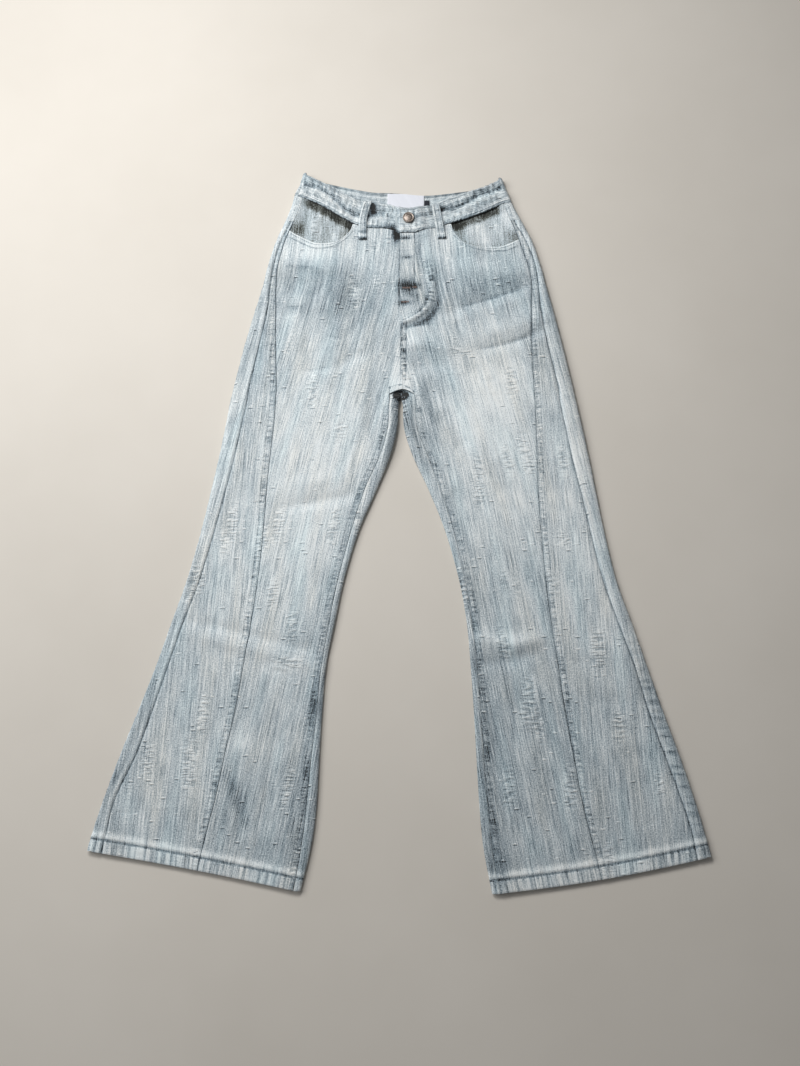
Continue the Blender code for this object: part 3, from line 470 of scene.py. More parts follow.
# x, y, half width, half height of each worn ladder of weft threads
frayStrips = [
    (-85, 112, 9, 18), (-245, -45, 8, 20), (-282, -355, 12, 38), (-150, -215, 22, 8),
    (-148, -165, 8, 22), (112, 42, 8, 40), (228, -42, 8, 12), (178, -268, 10, 36),
    (274, -198, 10, 34), (-128, 178, 8, 30), (-70, 330, 8, 30), (-176, -120, 8, 24),
    (160, 190, 8, 22), (92, 236, 20, 6), (-40, 398, 6, 14), (-36, 340, 5, 20), (44, 330, 5, 14),
    (232, -380, 9, 30), (-340, -350, 9, 22), (150, -380, 8, 26), (-190, -40, 7, 20),
    (300, -300, 9, 22), (-58, -20, 6, 20),
]
zoneTone = {"front": 0.0, "side": 0.01, "outer": -0.02, "inner": -0.05, "yoke": 0.0, "back": -0.04}


def between(value, low, high):               # 1 between two limits, fading just inside them
    return ease((value - low) / 1.5) * ease((high - value) / 1.5)


def addSpots(level, spots, x, y):
    for spotX, spotY, wide, high, change in spots:
        level = level + change * np.exp(-((x - spotX) / wide) ** 2 - ((y - spotY) / high) ** 2)
    return level


# painted shade in the hollow, painted highlight on the ridge, a painted dark inner row and the painted cast
# shadow
# along the curved edge of the fly: change, distance and spread, then first y, last y and first x, each with
# the length it fades over
flyShading = [
    (-0.46, -4.5, 4.2, 264, 8, 345, 40, 1, 8), (0.26, 6, 3.5, 278, 8, 350, 60, 0, None),
    (-0.30, 13, 3.0, 290, 12, 350, 30, 6, 6), (-0.26, -8, 4.0, 270, 16, 330, 30, 8, 8),
]


def paintFly(level, shade, x, y):            # fly, centre seam and the stitched arc over the crotch
    upper, lower, gap = ease((y - 296) / 8), centreSeam(y), lappedGap(x, y)
    straight = bell(x - flyStitch, 0.9) * upper * ease((y - 335) / 20)
    shade = shade + (1.1 * bell(x + 3.3, 1.0) * upper + 0.8 * straight)
    rows = bell(gap - 2.5, 0.9) + 1.2 * bell(gap - 11.0, 0.9)
    shade = shade + 0.7 * rows * ease((y - 282) / 8) * ease((390 - y) / 40)
    shade = shade + (0.9 * bell(x, 0.9) * lower + 0.5 * bell(x - centreStitch, 0.9) * lower)
    for change, off, wide, low, lowRun, high, highRun, start, run in flyShading:
        band = change * bell(gap - off, wide) * ease((y - low) / lowRun) * ease((high - y) / highRun)
        level = level + band * (1 if run is None else ease((x - start) / run))
    level = addSpots(level, flyMarksAndShade, x, y)
    # painted highlight on the lip below the stitched arc; the return adds painted shade in the arc's groove
    arc, near = y - crotchArc(x), aroundCrotch(x)
    level = level + 0.24 * bell(arc + 4.5, 3.5) * near
    reach = np.maximum(14 - (y - 188) * 0.30, 2.5)
    pale = ease((reach + 3 - np.abs(x + (y - 188) * 0.08)) / 5)
    level = level + 0.26 * pale * ease((250 - y) / 20) * ease((y - 176) / 6)
    return level - 0.30 * bell(arc, 0.9) * near, shade + 1.2 * bell(arc, 0.8) * near


# red is wear with painted light and shade, green frayed weft, blue painted shade in seams, creases and along
# edges, and the fourth number the drawn-in cloth: 1 where a seam draws it into rungs, -1 where the hem is
# roped
def paint(zone, x, y):
    level = addSpots(readCurve(wearTable, 1, y), wearAndShadeSpots, x, y)
    frontGap, outGap, inGap = seamGaps(x, y)
    up = y - hemEdge(x)
    sharp = [row for row in creaseTable if len(row) > 8]
    shade = 0.30 * np.clip(-foldRise(sharp, x, y, 0.0), 0, 1.6)
    level += zoneTone[zone]
    if zone == "front":
        level -= 0.14 * bell(inGap - 6, 16) * ease((200 - y) / 60) + 0.06 * bell(frontGap, 14)
        shade += bell(frontGap, 0.9) + 0.8 * bell(inGap, 1.0) * ease((186 - y) / 8)
        level, shade = paintFly(level, shade, x, y)
    if zone == "inner":
        # painted shade in the hollow over the crotch with a painted lit patch in it, then painted shade on
        # the inner faces beside the gap between the legs and a painted highlight along their edge
        hollow = ease(2.6 * (1 - ((x - 0.5) / 13.0) ** 2 - ((y - 169) / 9.0) ** 2))
        lit = bell(x - 2, 5.5) * bell(y - 172, 3.6)
        level = mix(level, 0.80 * lit - 0.45, hollow)
        nearGap = ease((y - 60) / 60)
        level -= (0.12 + 0.20 * nearGap) * ease((-2 - inGap) / 4) * ease((182 - y) / 6)
        level += 0.10 * nearGap * bell(inGap + 2, 1.5)
    if zone == "side":
        level -= 0.08 * ease((y + 80) / 120)
        level += 0.07 * bell(frontGap - 4.5, 4) - 0.05 * bell(outGap + 5, 8)
        shade += 0.9 * bell(frontGap, 0.9) + bell(outGap, 1.1)
    if zone == "outer":
        level += 0.12 * bell(outGap - 5, 3.5) - 0.08 * bell(outGap - 13, 6)
        shade += bell(outGap, 1.0)
    if zone in ("side", "outer"):
        level += 0.05 * pucker(y, 9.0, 31.0) * bell(frontGap - 5, 5)
        dark = np.clip(pucker(y, 16.0, 33.0), 0, 1)
        dark = dark * np.where(x > 0, bell(y + 330, 105), 0.3 * bell(y - 360, 60))
        level -= 0.75 * dark * bell(outGap - 9, 7)
    crest = 0.7 + 0.5 * wander(x, 35.0, (43.0, 17.0, 8.0))
    level += 0.54 * crest * bell(up - 23, 5.0) + 0.24 * bell(up - 1, 3.0) + 0.16 * bell(up - 9, 6)
    # painted shade in the stitch groove of the hem
    shade += 1.1 * bell(up - seamSettings["hemStitch"], 1.1)
    level -= 0.16 * bell(up - seamSettings["hemStitch"], 1.2)
    fray = np.zeros(np.shape(x))
    for spotX, spotY, wide, high in frayStrips:
        fray = np.maximum(fray, np.exp(-((x - spotX) / wide) ** 4 - ((y - spotY) / high) ** 4))
    fray = np.maximum(fray, 0.55 * bell(frontGap - 5, 4))
    ladder = np.zeros(np.shape(x))
    patchy = 0.55 + 0.45 * wander(y, 53.0 + np.sign(x), (97.0, 41.0, 19.0))
    if zone == "side":
        wide = ease((bothSides(outSeam, x, y) - bothSides(frontSeam, x, y) - 16) / 8)
        ladder += between(frontGap, 1.0, 9.5) * wide * patchy
    if zone == "front":
        ladder += between(inGap, 1.0, 10.0) * ease((170 - y) / 30) * patchy
        ladder += between(x, -0.5, 9.0) * centreSeam(y)
        curved = 0.8 * between(lappedGap(x, y), 1.5, 12.0)
        ladder += curved * ease((y - 283) / 8) * ease((400 - y) / 60)
    roped = ease((16.5 - up) / 1.5) if zone != "yoke" else 0
    ladder = ladder * (1 - roped) - roped
    level, shade = np.clip(level, -0.5, 1.0), np.clip(shade, 0, 1)
    return np.stack([level, np.clip(fray, 0, 1), shade, ladder], axis=-1)


# lean of the warp threads at five heights from the waist to the hem
grainLean = {
    "levels": (440, 330, 180, -60, -500),
    "front": (0.03, 0.22, 0.26, 0.18, 0.20), "side": (0.15, 0.12, 0.10, 0.06, 0.07),
    "outer": (0.28, 0.26, 0.20, 0.22, 0.33), "inner": (0.05, 0.20, 0.24, 0.20, 0.10),
    "yoke": (0.30, 0.30, 0.20, 0.20, 0.20),
}


def grain(zone, side, x, y):                 # across and along the warp threads
    levels = np.linspace(-540, 540, 217)
    lean = np.interp(levels, grainLean["levels"][::-1], grainLean[zone][::-1])
    drift = np.cumsum(lean) * (levels[1] - levels[0])
    return np.stack([x + side * np.interp(y, levels, drift), y + 0 * x], axis=-1)


def addPiece(name, mesh, material):
    mesh.materials.append(material)
    piece = bpy.data.objects.new(name, mesh)
    bpy.context.scene.collection.objects.link(piece)
    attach(piece, "root")
    print("made", name, len(mesh.polygons))
    return piece


def meshFrom(bm, name):
    mesh = bpy.data.meshes.new(name)
    bm.to_mesh(mesh)
    bm.free()
    return mesh


# a closed shell of cloth from the points of its outer and inner surface; kept says which cells exist
def buildShell(name, outer, inner, kept, finishAndShade, grainMap, material):
    rows, columns = outer.shape[0] - 1, outer.shape[1] - 1
    bm = bmesh.new()
    bmesh.ops.create_grid(bm, x_segments=columns, y_segments=rows, size=1.0)
    spot = bm.verts.layers.int.new("spot")
    for vert in bm.verts:
        row = round((1 - vert.co.y) * rows / 2)
        vert[spot] = row * (columns + 1) + round((1 + vert.co.x) * columns / 2)
    if kept is not None:
        spare = []
        for face in bm.faces:
            corner = min(vert[spot] for vert in face.verts)
            if not kept[corner // (columns + 1), corner % (columns + 1)]:
                spare.append(face)
        bmesh.ops.delete(bm, geom=spare, context="FACES")
    outerVerts = bm.verts[:]
    grown = bmesh.ops.extrude_face_region(bm, geom=bm.faces[:])
    innerVerts = [item for item in grown["geom"] if isinstance(item, bmesh.types.BMVert)]
    shift = np.array([0.0, centreShiftY, 0.0])
    for verts, points in ((outerVerts, outer), (innerVerts, inner)):
        places = ((points + shift) * millimetre).reshape(-1, 3).tolist()
        for vert in verts:
            vert.co = places[vert[spot]]
    bmesh.ops.recalc_face_normals(bm, faces=bm.faces[:])
    for edge in bm.edges:
        edge.smooth = edge.calc_face_angle(0.0) < math.radians(50)
    for face in bm.faces:
        face.smooth = True
    mesh = meshFrom(bm, name)
    spots = np.empty(len(mesh.vertices), np.int32)
    mesh.attributes["spot"].data.foreach_get("value", spots)
    mesh.attributes.remove(mesh.attributes["spot"])
    colours = np.ones((len(spots), 4), np.float32)
    colours[:, :3] = finishAndShade.reshape(-1, 4)[spots, :3]
    mesh.attributes.new("finishAndShade", "FLOAT_COLOR", "POINT").data.foreach_set("color", colours.ravel())
    drawn = np.ascontiguousarray(finishAndShade.reshape(-1, 4)[spots, 3], np.float32)
    mesh.attributes.new("drawn", "FLOAT", "POINT").data.foreach_set("value", drawn)
    corners = np.empty(len(mesh.loops), np.int32)
    mesh.loops.foreach_get("vertex_index", corners)
    places = (grainMap.reshape(-1, 2)[spots][corners] * millimetre).astype(np.float32)
    mesh.uv_layers.new(name="grain").data.foreach_set("uv", places.ravel())
    return addPiece(name, mesh, material)


def splitSteps(marks, counts):               # each gap of a list of marks split into so many steps
    values = [float(marks[0])]
    for start, end, count in zip(marks, marks[1:], counts):
        values += [start + (end - start) * (step + 1) / count for step in range(count)]
    return np.array(values)


def fineSteps(marks, pitch):                 # the same in steps of about the pitch
    counts = [max(1, round(abs(end - start) / pitch)) for start, end in zip(marks, marks[1:])]
    return splitSteps(marks, counts)


def spread(start, end, offsets, middle):     # columns stand closer beside both seams
    width = np.abs(end - start)
    sign = np.sign(end - start)
    offsets = np.asarray(offsets, float)
    scale = np.minimum(1.0, width / (2.4 * offsets[-1]))
    near = start + sign * offsets[None, :] * scale
    far = end - sign * offsets[None, ::-1] * scale
    inside = np.linspace(0, 1, middle + 1)[1:-1]
    return np.hstack([near, mix(near[:, -1:], far[:, :1], inside[None, :]), far])


clothWall, hemWall, facingWall, loopWall = 1.1, 2.2, 0.9, 1.2
seamOffsets = [0.0, 0.7, 1.7, 2.7, 4.0, 5.4, 6.8, 8.0, 9.2, 10.6, 12.4, 14.6]
legRowPitch = 1.9


def wallAt(line):
    return mix(clothWall, hemWall, doubled(line))


def waistGap(lines):                         # room for the seam at the waist end of a panel
    return halfSeam * (lines > waistLine - 0.1)


def yokeDip(x):                              # how far the seam under the yoke drops at the centre
    return 62.0 * np.maximum(1 - np.abs(x) / 168.0, 0.0)


def stack(x, y, z):
    x, y, z = np.broadcast_arrays(x, y, z)
    return np.stack([x, y, z], axis=-1)


sewing = {}                                  # name of a seam line: its points in millimetres


# place runs along the top edge: 0 at the centre, 4 where the scoop begins, 9 at the front seam
def frontPanel(side, settings, material):
    first = 2 if side == left else 1
    lines = fineSteps(rowLines[first:], legRowPitch)[:, None]
    flat = np.minimum(lines, scoopLine)
    innerX, outerX = seamX(side, inSeam, flat), seamX(side, frontSeam, flat)
    start = innerX + side * halfSeam * (flat < 190)
    legX = spread(start, outerX - side * halfSeam, seamOffsets, settings["middleColumns"])
    step = ease((flat - 286) / 14.0)
    centreX = mix(3.15, -3.0, step) if side == left else mix(2.85, 5.0, step)
    centre = mix(centreX, innerX, np.linspace(0, 1, settings["centreColumns"] + 1)[None, :-1])
    x = np.hstack([centre, legX])
    count = settings["centreColumns"]
    y = rowY(flat, x)
    # top edge: waistband seam, then the pocket scoop
    top = rowLines[first]
    share = (x[0] - start[0]) / (outerX[0] - side * halfSeam - start[0])
    place = np.where(np.arange(x.shape[1]) < count, 2 * np.arange(x.shape[1]) / count, 2 + 7 * share)
    marks = bandMarks[left][:5] if side == left else bandMarks[right][1:6]
    cornerX = marks[4]
    rim = [(4, cornerX, float(bandLower(cornerX)) - halfSeam)]
    rim += [(5 + index, px, py) for index, (px, py) in enumerate(scoop[side])]
    onBand = place <= 4
    topX = np.where(onBand, np.interp(place, range(5), marks), readCurve(rim, 1, place))
    topY = np.where(onBand, bandLower(topX) - halfSeam, readCurve(rim, 2, place))
    part = np.clip((lines - scoopLine) / (top - scoopLine), 0, 1)
    x, y = mix(x, topX[None, :], part), mix(y, topY[None, :], part)
    seamPlace = seamX(side, frontSeam, lines) - side * halfSeam
    follow = ease(place - 8)[None, :] * (lines > scoopLine)
    x = x + (seamPlace - x[:, -1:]) * follow
    y = y + (lines - y[:, -1:]) * follow
    # curved lower edge at the crotch
    droop = np.interp(place, [0, 0.5, 1, 1.5, 2, 3, 4], [-2.2, -3.0, -4.6, -7.0, -9.6, -4.0, 0.0])
    reach = np.where(lines > lipLine, (tuckLine - lines) / (tuckLine - lipLine),
                     1 - (lipLine - lines) / (lipLine - crotchLine))
    y = y + droop[None, :] * np.clip(reach, 0, 1)
    z = topHeight("front", side, x, y) + proud(lines)
    # rounded cut edges at the scoop and the fly
    down = np.hypot(x - x[:1], y - y[:1])
    rimFall = ease((place - 3.6) / 0.6)[None, :] * ease((9.2 - place) / 0.6)[None, :]
    z += rimFall * (0.5 * ease(down / 1.2) * ease((11 - down) / 4) - 0.55 * bell(down, 1.1))
    z += rimFall * 0.32 * pucker(x, 6.5, 41.0) * bell(down - 5.0, 4.0)
    if side == left:
        z -= 0.5 * bell(np.abs(x - centreX), 1.0) * (y > 286)
    rows, columns = x.shape[0] - 1, x.shape[1] - 1
    kept = np.ones((rows, columns), bool)
    kept[lines[:-1, 0] <= lipLine + 0.01, :count] = False
    finishAndShade = paint("front", x, y)
    dashes = 0.6 + 0.4 * pucker(x, 5.5, 49.0)
    finishAndShade[..., 0] += (0.36 * bell(down - 0.8, 1.7) + 0.14 * bell(down - 5.8, 2.2)) * rimFall
    # painted shade in the two stitch rows below the rim of the scoop
    finishAndShade[..., 2] += (0.9 * bell(down - 3.4, 0.9) + 1.2 * bell(down - 8.9, 1.0)) * dashes * rimFall
    points = stack(x, y, z)
    piece = buildShell(settings["name"], points, stack(x, y, z - wallAt(lines)), kept, finishAndShade,
                       grain("front", side, x, y), material)
    for depth in (3.2, 8.9):                 # two stitch rows below the rim of the scoop
        line = []
        for column in np.flatnonzero((place >= 4.1) & (place <= 8.9)):
            fall, way = down[:60, column], points[:60, column]
            line.append([np.interp(depth, fall, way[:, axis]) for axis in range(3)])
        sewing["%s scoop %g" % (settings["name"], depth)] = np.array(line)
    for index in (2, 7):
        below = lines[:, 0] < lipLine - 3
        sewing["%s inseam %d" % (settings["name"], index)] = points[below, count + index]
    hemRow = int(np.argmin(np.abs(lines[:, 0] - stitchedHem)))
    sewing[settings["name"] + " hem"] = hemSewing("front", side, x[hemRow, count:])
    if side == left:
        flySewing(settings["name"] + " fly", side, flyStitch, np.linspace(420, 340, 40))
    rowX, arcEnds = (centreStitch, (4, 16)) if side == left else (0.5, (2, -17))
    flySewing(settings["name"] + " centre", side, rowX, np.linspace(284, 190, 50))
    across = np.linspace(*arcEnds, 12)
    flySewing(settings["name"] + " arc", side, across, crotchArc(across))
    return piece


def flySewing(name, side, x, y):
    x = x + 0 * y
    sewing[name] = stack(x, y, topHeight("front", side, x, y) + 0.1)


def hemSewing(zone, side, x):
    x = np.linspace(x[0], x[-1], 90)
    y = hemEdge(x) + seamSettings["hemStitch"]
    return stack(x, y, topHeight(zone, side, x, y) + 0.4)


def sidePanel(side, settings, material):
    lines = fineSteps(rowLines, legRowPitch)[:, None]
    start = seamX(side, frontSeam, lines) + side * halfSeam
    end = seamX(side, outSeam, lines) - side * halfSeam
    x = spread(start, end, seamOffsets, settings["middleColumns"])
    y = rowY(lines, x) - waistGap(lines)
    z = topHeight("side", side, x, y) + proud(lines)
    points = stack(x, y, z)
    piece = buildShell(settings["name"], points, stack(x, y, z - wallAt(lines)), None,
                       paint("side", x, y), grain("side", side, x, y), material)
    for index in (2, 7):
        sewing["%s seam %d" % (settings["name"], index)] = points[:, index]
    hemRow = int(np.argmin(np.abs(lines[:, 0] - stitchedHem)))
    sewing[settings["name"] + " hem"] = hemSewing("side", side, x[hemRow])
    return piece


def rolled(edge, inward, width, level, shoulder, angle, wall):   # outer and inner points of a rolled edge
    side = 1 - np.cos(angle)
    up = angle > 0
    rise = np.where(up, shoulder - level, level) * np.sin(angle)
    innerRise = np.where(up, shoulder - wall - level, level - wall) * np.sin(angle)
    innerWidth = np.maximum(width - wall, 0.0)
    outer = (edge + inward * width * side, level + rise)
    inner = (edge + inward * (wall + innerWidth * side), level + innerRise)
    return outer, inner


def pick(zones, *choices):                   # each zone of the grid takes its own surface
    return np.select(zones, [choice + np.zeros(zones[0].shape) for choice in choices])


# columns run from the inseam over the inner roll (1 to 7), the floor (to 10), the outer roll (to 16)
# and the strip beside the outseam (to 18)
def backPanel(side, settings, material):
    lines = fineSteps(rowLines, legRowPitch)[:, None]
    columns = splitSteps([0, 1, 4, 7, 10, 13, 16, 18], settings["columnCounts"])[None, :]
    wall, out = wallAt(lines), proud(lines)
    innerX0 = seamX(side, innerEdge, lines)
    outerX = seamX(side, outerEdge, lines)
    outerY = rowY(lines, outerX) - waistGap(lines)
    seamIn = seamX(side, inSeam, lines) - side * halfSeam
    seamOut = seamX(side, outSeam, lines) + side * halfSeam
    innerWidth = np.minimum(readCurve(bodyTable, innerRoll, lines), np.abs(seamIn - innerX0) - 1.0)
    outerWidth = np.minimum(readCurve(bodyTable, outerRoll, lines), np.abs(outerX - seamOut) - 1.0)
    crotch = np.clip((lines - 155) / 13.0, 0, 1)
    innerX = mix(innerX0, side * halfSeam, crotch)
    lowerWidth = mix(innerWidth, 0.0, crotch)
    sink = np.where(lines >= crotchLine, ease((lines - 160) / 24.0), ease(8 / 24.0) * crotch)
    shoulderX = innerX + side * innerWidth
    y = rowY(lines, shoulderX)
    y = np.where(lines >= crotchLine, np.interp(lines, [168, 181, 198], [168, 179.4, 186.5]), y)
    seat = clothTop(shoulderX, y) + relief("inner", shoulderX, y) + out
    shoulder = mix(seat, 5.6, sink)
    level = mix(shoulder * 0.45, 4.0, sink)
    ones = np.ones_like(lines * columns)
    # strip and roll on the inside of the leg
    stripX = mix(seamIn, shoulderX, np.clip(columns, 0, 1))
    stripZ = mix(clothTop(stripX, y * ones) + relief("inner", stripX, y * ones) + out,
                 mix(6.2, 5.6, np.clip(columns, 0, 1)), sink)
    angle = math.pi * (0.5 - (columns - 1) / 6)
    width = np.where(angle > 0, innerWidth, lowerWidth)
    rollOuter, rollInner = rolled(innerX, side, width, level, shoulder, angle, wall)
    # under layer on the floor
    flatStart, flatEnd = innerX + side * lowerWidth, outerX - side * outerWidth
    flatX = mix(flatStart, flatEnd, (columns - 7) / 3)
    bent = rowLines[:13]                     # rows that follow the yoke seam, less and less
    rowShare = np.interp(-lines, [-line for line in bent], [1 - row / 12 for row in range(len(bent))])
    rowShare = np.where(lines < bent[-1], 0.0, rowShare)
    flatY = rowY(lines, flatX) - yokeDip(flatX) * rowShare - waistGap(lines)
    # roll and strip on the outside of the leg
    edgeX = outerX - side * outerWidth
    edgeTop = clothTop(edgeX, outerY) + relief("outer", edgeX, outerY) + out
    outAngle = math.pi * ((columns - 10) / 6 - 0.5)
    outOuter, outInner = rolled(outerX, -side, outerWidth, edgeTop * 0.47, edgeTop, outAngle, wall)
    bulge = 0.35 * pucker(outerY, 15.0, 51.0 + side) * np.sin(np.clip((columns - 10) / 6, 0, 1) * math.pi)
    endX = mix(edgeX, seamOut, np.clip((columns - 16) / 2, 0, 1))
    endY = rowY(lines, endX) - waistGap(lines)
    endZ = clothTop(endX, endY) + relief("outer", endX, endY) + out
    at = columns * ones
    zones = [at < 1, at < 7, (at == 7) & (lines > crotchLine), at <= 7, at < 10, at <= 16, at > 16]
    centreX = side * halfSeam
    x = pick(zones, stripX, rollOuter[0], centreX, rollOuter[0], flatX, outOuter[0] + side * bulge, endX)
    yAll = pick(zones, y, y, flatY, y, flatY, outerY, endY)
    z = pick(zones, stripZ, rollOuter[1], 0.0, rollOuter[1], 0.0, outOuter[1], endZ)
    xIn = pick(zones, stripX, rollInner[0], centreX, rollInner[0], flatX, outInner[0] + side * bulge, endX)
    zIn = pick(zones, stripZ - wall, rollInner[1], wall, rollInner[1], wall, outInner[1], endZ - wall)
    z = np.maximum(z, 0.0)
    rows, count = x.shape[0] - 1, x.shape[1] - 1
    kept = np.ones((rows, count), bool)
    high = lines[:-1, 0] > crotchLine + 0.01
    kept[np.ix_(high, columns[0, :-1] < 7)] = False
    low = high & (lines[:-1, 0] <= tuckLine + 0.01)
    kept[np.ix_(low, columns[0, :-1] < 4)] = True
    finishAndShade = np.where((columns < 8)[..., None], paint("inner", x, yAll), paint("outer", x, yAll))
    under = ((columns > 4.4) & (columns < 10))[..., None]
    finishAndShade = np.where(under, paint("back", x, yAll) * np.array([1.0, 0.6, 0.0, 1.0]), finishAndShade)
    outer, inner = stack(x, yAll, z), stack(xIn, yAll, zIn)
    return buildShell(settings["name"], outer, inner, kept, finishAndShade,
                      grain("inner", side, x, yAll), material)


def yokePanel(side, settings, material):
    parts = np.linspace(1, 0, settings["rows"] + 1)[:, None]
    columns = splitSteps([0, 3, 6, 9, 10], settings["columnCounts"])[None, :]
    low, high = waistLine + halfSeam, bandCorner(side, 0.0) - halfSeam
    y = mix(low, high, parts)
    edge, seam = sectionX(side, outerEdge, y), sectionX(side, frontSeam, y)
    rollWidth = np.minimum(readCurve(bodyTable, outerRoll, y), np.abs(edge - seam) - 2.0)
    width = mix(rollWidth, bandRoll, parts)
    shoulderX = edge - side * width
    flatX = mix(side * halfSeam, shoulderX, np.clip(columns / 3, 0, 1))
    seamY = waistLine - yokeDip(flatX)
    flatY = mix(seamY + halfSeam, bandBackLower(flatX) - halfSeam, parts)
    shoulder = clothTop(shoulderX, y) + relief("yoke", shoulderX, y)
    angle = math.pi * ((columns - 3) / 6 - 0.5)
    rollOuter, rollInner = rolled(edge, -side, width, shoulder * 0.47, shoulder, angle, clothWall)
    endY = y
    for step in range(4):
        endX = sectionX(side, frontSeam, endY) + side * halfSeam
        endY = mix(low, bandLower(endX) - halfSeam, parts)
    lastX = mix(shoulderX, endX, np.clip(columns - 9, 0, 1))
    lastY = mix(y, endY, np.clip(columns - 9, 0, 1))
    lastZ = clothTop(lastX, lastY) + relief("yoke", lastX, lastY)
    at = columns + 0 * parts
    zones = [at < 3, at <= 9, at > 9]
    x, yAll = pick(zones, flatX, rollOuter[0], lastX), pick(zones, flatY, y, lastY)
    outer = stack(x, yAll, pick(zones, 0.0, rollOuter[1], lastZ))
    inner = stack(pick(zones, flatX, rollInner[0], lastX), yAll,
                  pick(zones, clothWall, rollInner[1], lastZ - clothWall))
    return buildShell(settings["name"], outer, inner, None, paint("yoke", x, yAll),
                      grain("yoke", side, x, yAll), material)


bandSettings = {
    "wall": 2.4, "proud": 1.0, "lapRise": 3.4, "ropePitch": 11.0, "ropeRise": 1.25, "rows": 24,
}

# x and the share up the band of its long crease
bandCrease = [
    (-158, 0.47), (-140, 0.56), (-128, 0.70), (-115, 0.65), (-98, 0.51), (-85, 0.41), (-75, 0.33),
    (-62, 0.42), (-30, 0.55), (0, 0.55), (30, 0.62), (48, 0.62), (58, 0.66), (75, 0.50), (90, 0.55),
    (104, 0.66), (118, 0.78), (135, 0.70), (160, 0.58),
]


def bandTrough(x, part):                     # share of the band above its crease, and how deep it runs
    away = 0.25 + 0.75 * ease((np.abs(x - 5) - 38) / 22)
    return part - np.interp(x, *zip(*bandCrease)), away


def bandLap(x):                              # the left end lies over the right one
    return bandSettings["lapRise"] * ease((50 - x) / 26.0)


def bandTop(x, y, part, over):
    s = bandSettings
    side = np.where(x > 0, 1.0, -1.0)
    above, away = bandTrough(x, part)
    crease = 2.3 * np.where(above > 0, bell(above, 0.10), bell(above, 0.16)) * away
    lapped = bandLap(x) if over else 0.0
    ridge = (0.9 * bell(above - 0.20, 0.10) + 1.0 * bell(above + 0.26, 0.12)) * away
    twist = s["ropeRise"] * pucker(x * side + part * 10, s["ropePitch"], 61.0 + side)
    twist = twist * (0.8 * bell(above - 0.20, 0.16) + 0.6 * bell(above + 0.26, 0.2) + 0.3)
    cross = 0.5 * pucker(x * side - part * 9, 6.7, 65.0 - side)
    twist = twist + cross * ease(part / 0.1) * ease((1 - part) / 0.1)
    small = 0.4 * pucker(x, 6.1, 63.0) * (bell(part - 0.10, 0.12) + bell(part - 0.90, 0.14))
    groove = -0.3 * (bell(part - 0.07, 0.025) + bell(part - 0.93, 0.025))
    edge = -0.9 * (bell(part, 0.03) + bell(part - 1.0, 0.03))
    base = clothTop(x, np.minimum(y, bandSeat)) + s["proud"]
    return base - crease + lapped + ridge + twist + small + groove + edge


# x, share up the band, half width, half height, change of level: painted shade in the gaps under the loops
# and beside the band end, and other darker and lighter spots
bandSpotsAndShade = [
    (-43, 0.80, 3.6, 0.24, -1.3), (-14, 0.12, 7, 0.16, -0.7), (-34, 0.62, 10, 0.10, -0.25),
    (-28, 0.15, 12, 0.12, -0.22), (28, 0.62, 12, 0.14, -0.26), (60, 0.66, 5, 0.12, -0.35),
    (30, 0.42, 14, 0.10, 0.12), (-140, 0.54, 12, 0.10, -0.15), (-152, 0.75, 8, 0.25, -0.16),
    (150, 0.80, 7, 0.16, -0.20), (152, 0.45, 10, 0.14, 0.12), (8, 0.5, 12, 0.3, 0.04),
]


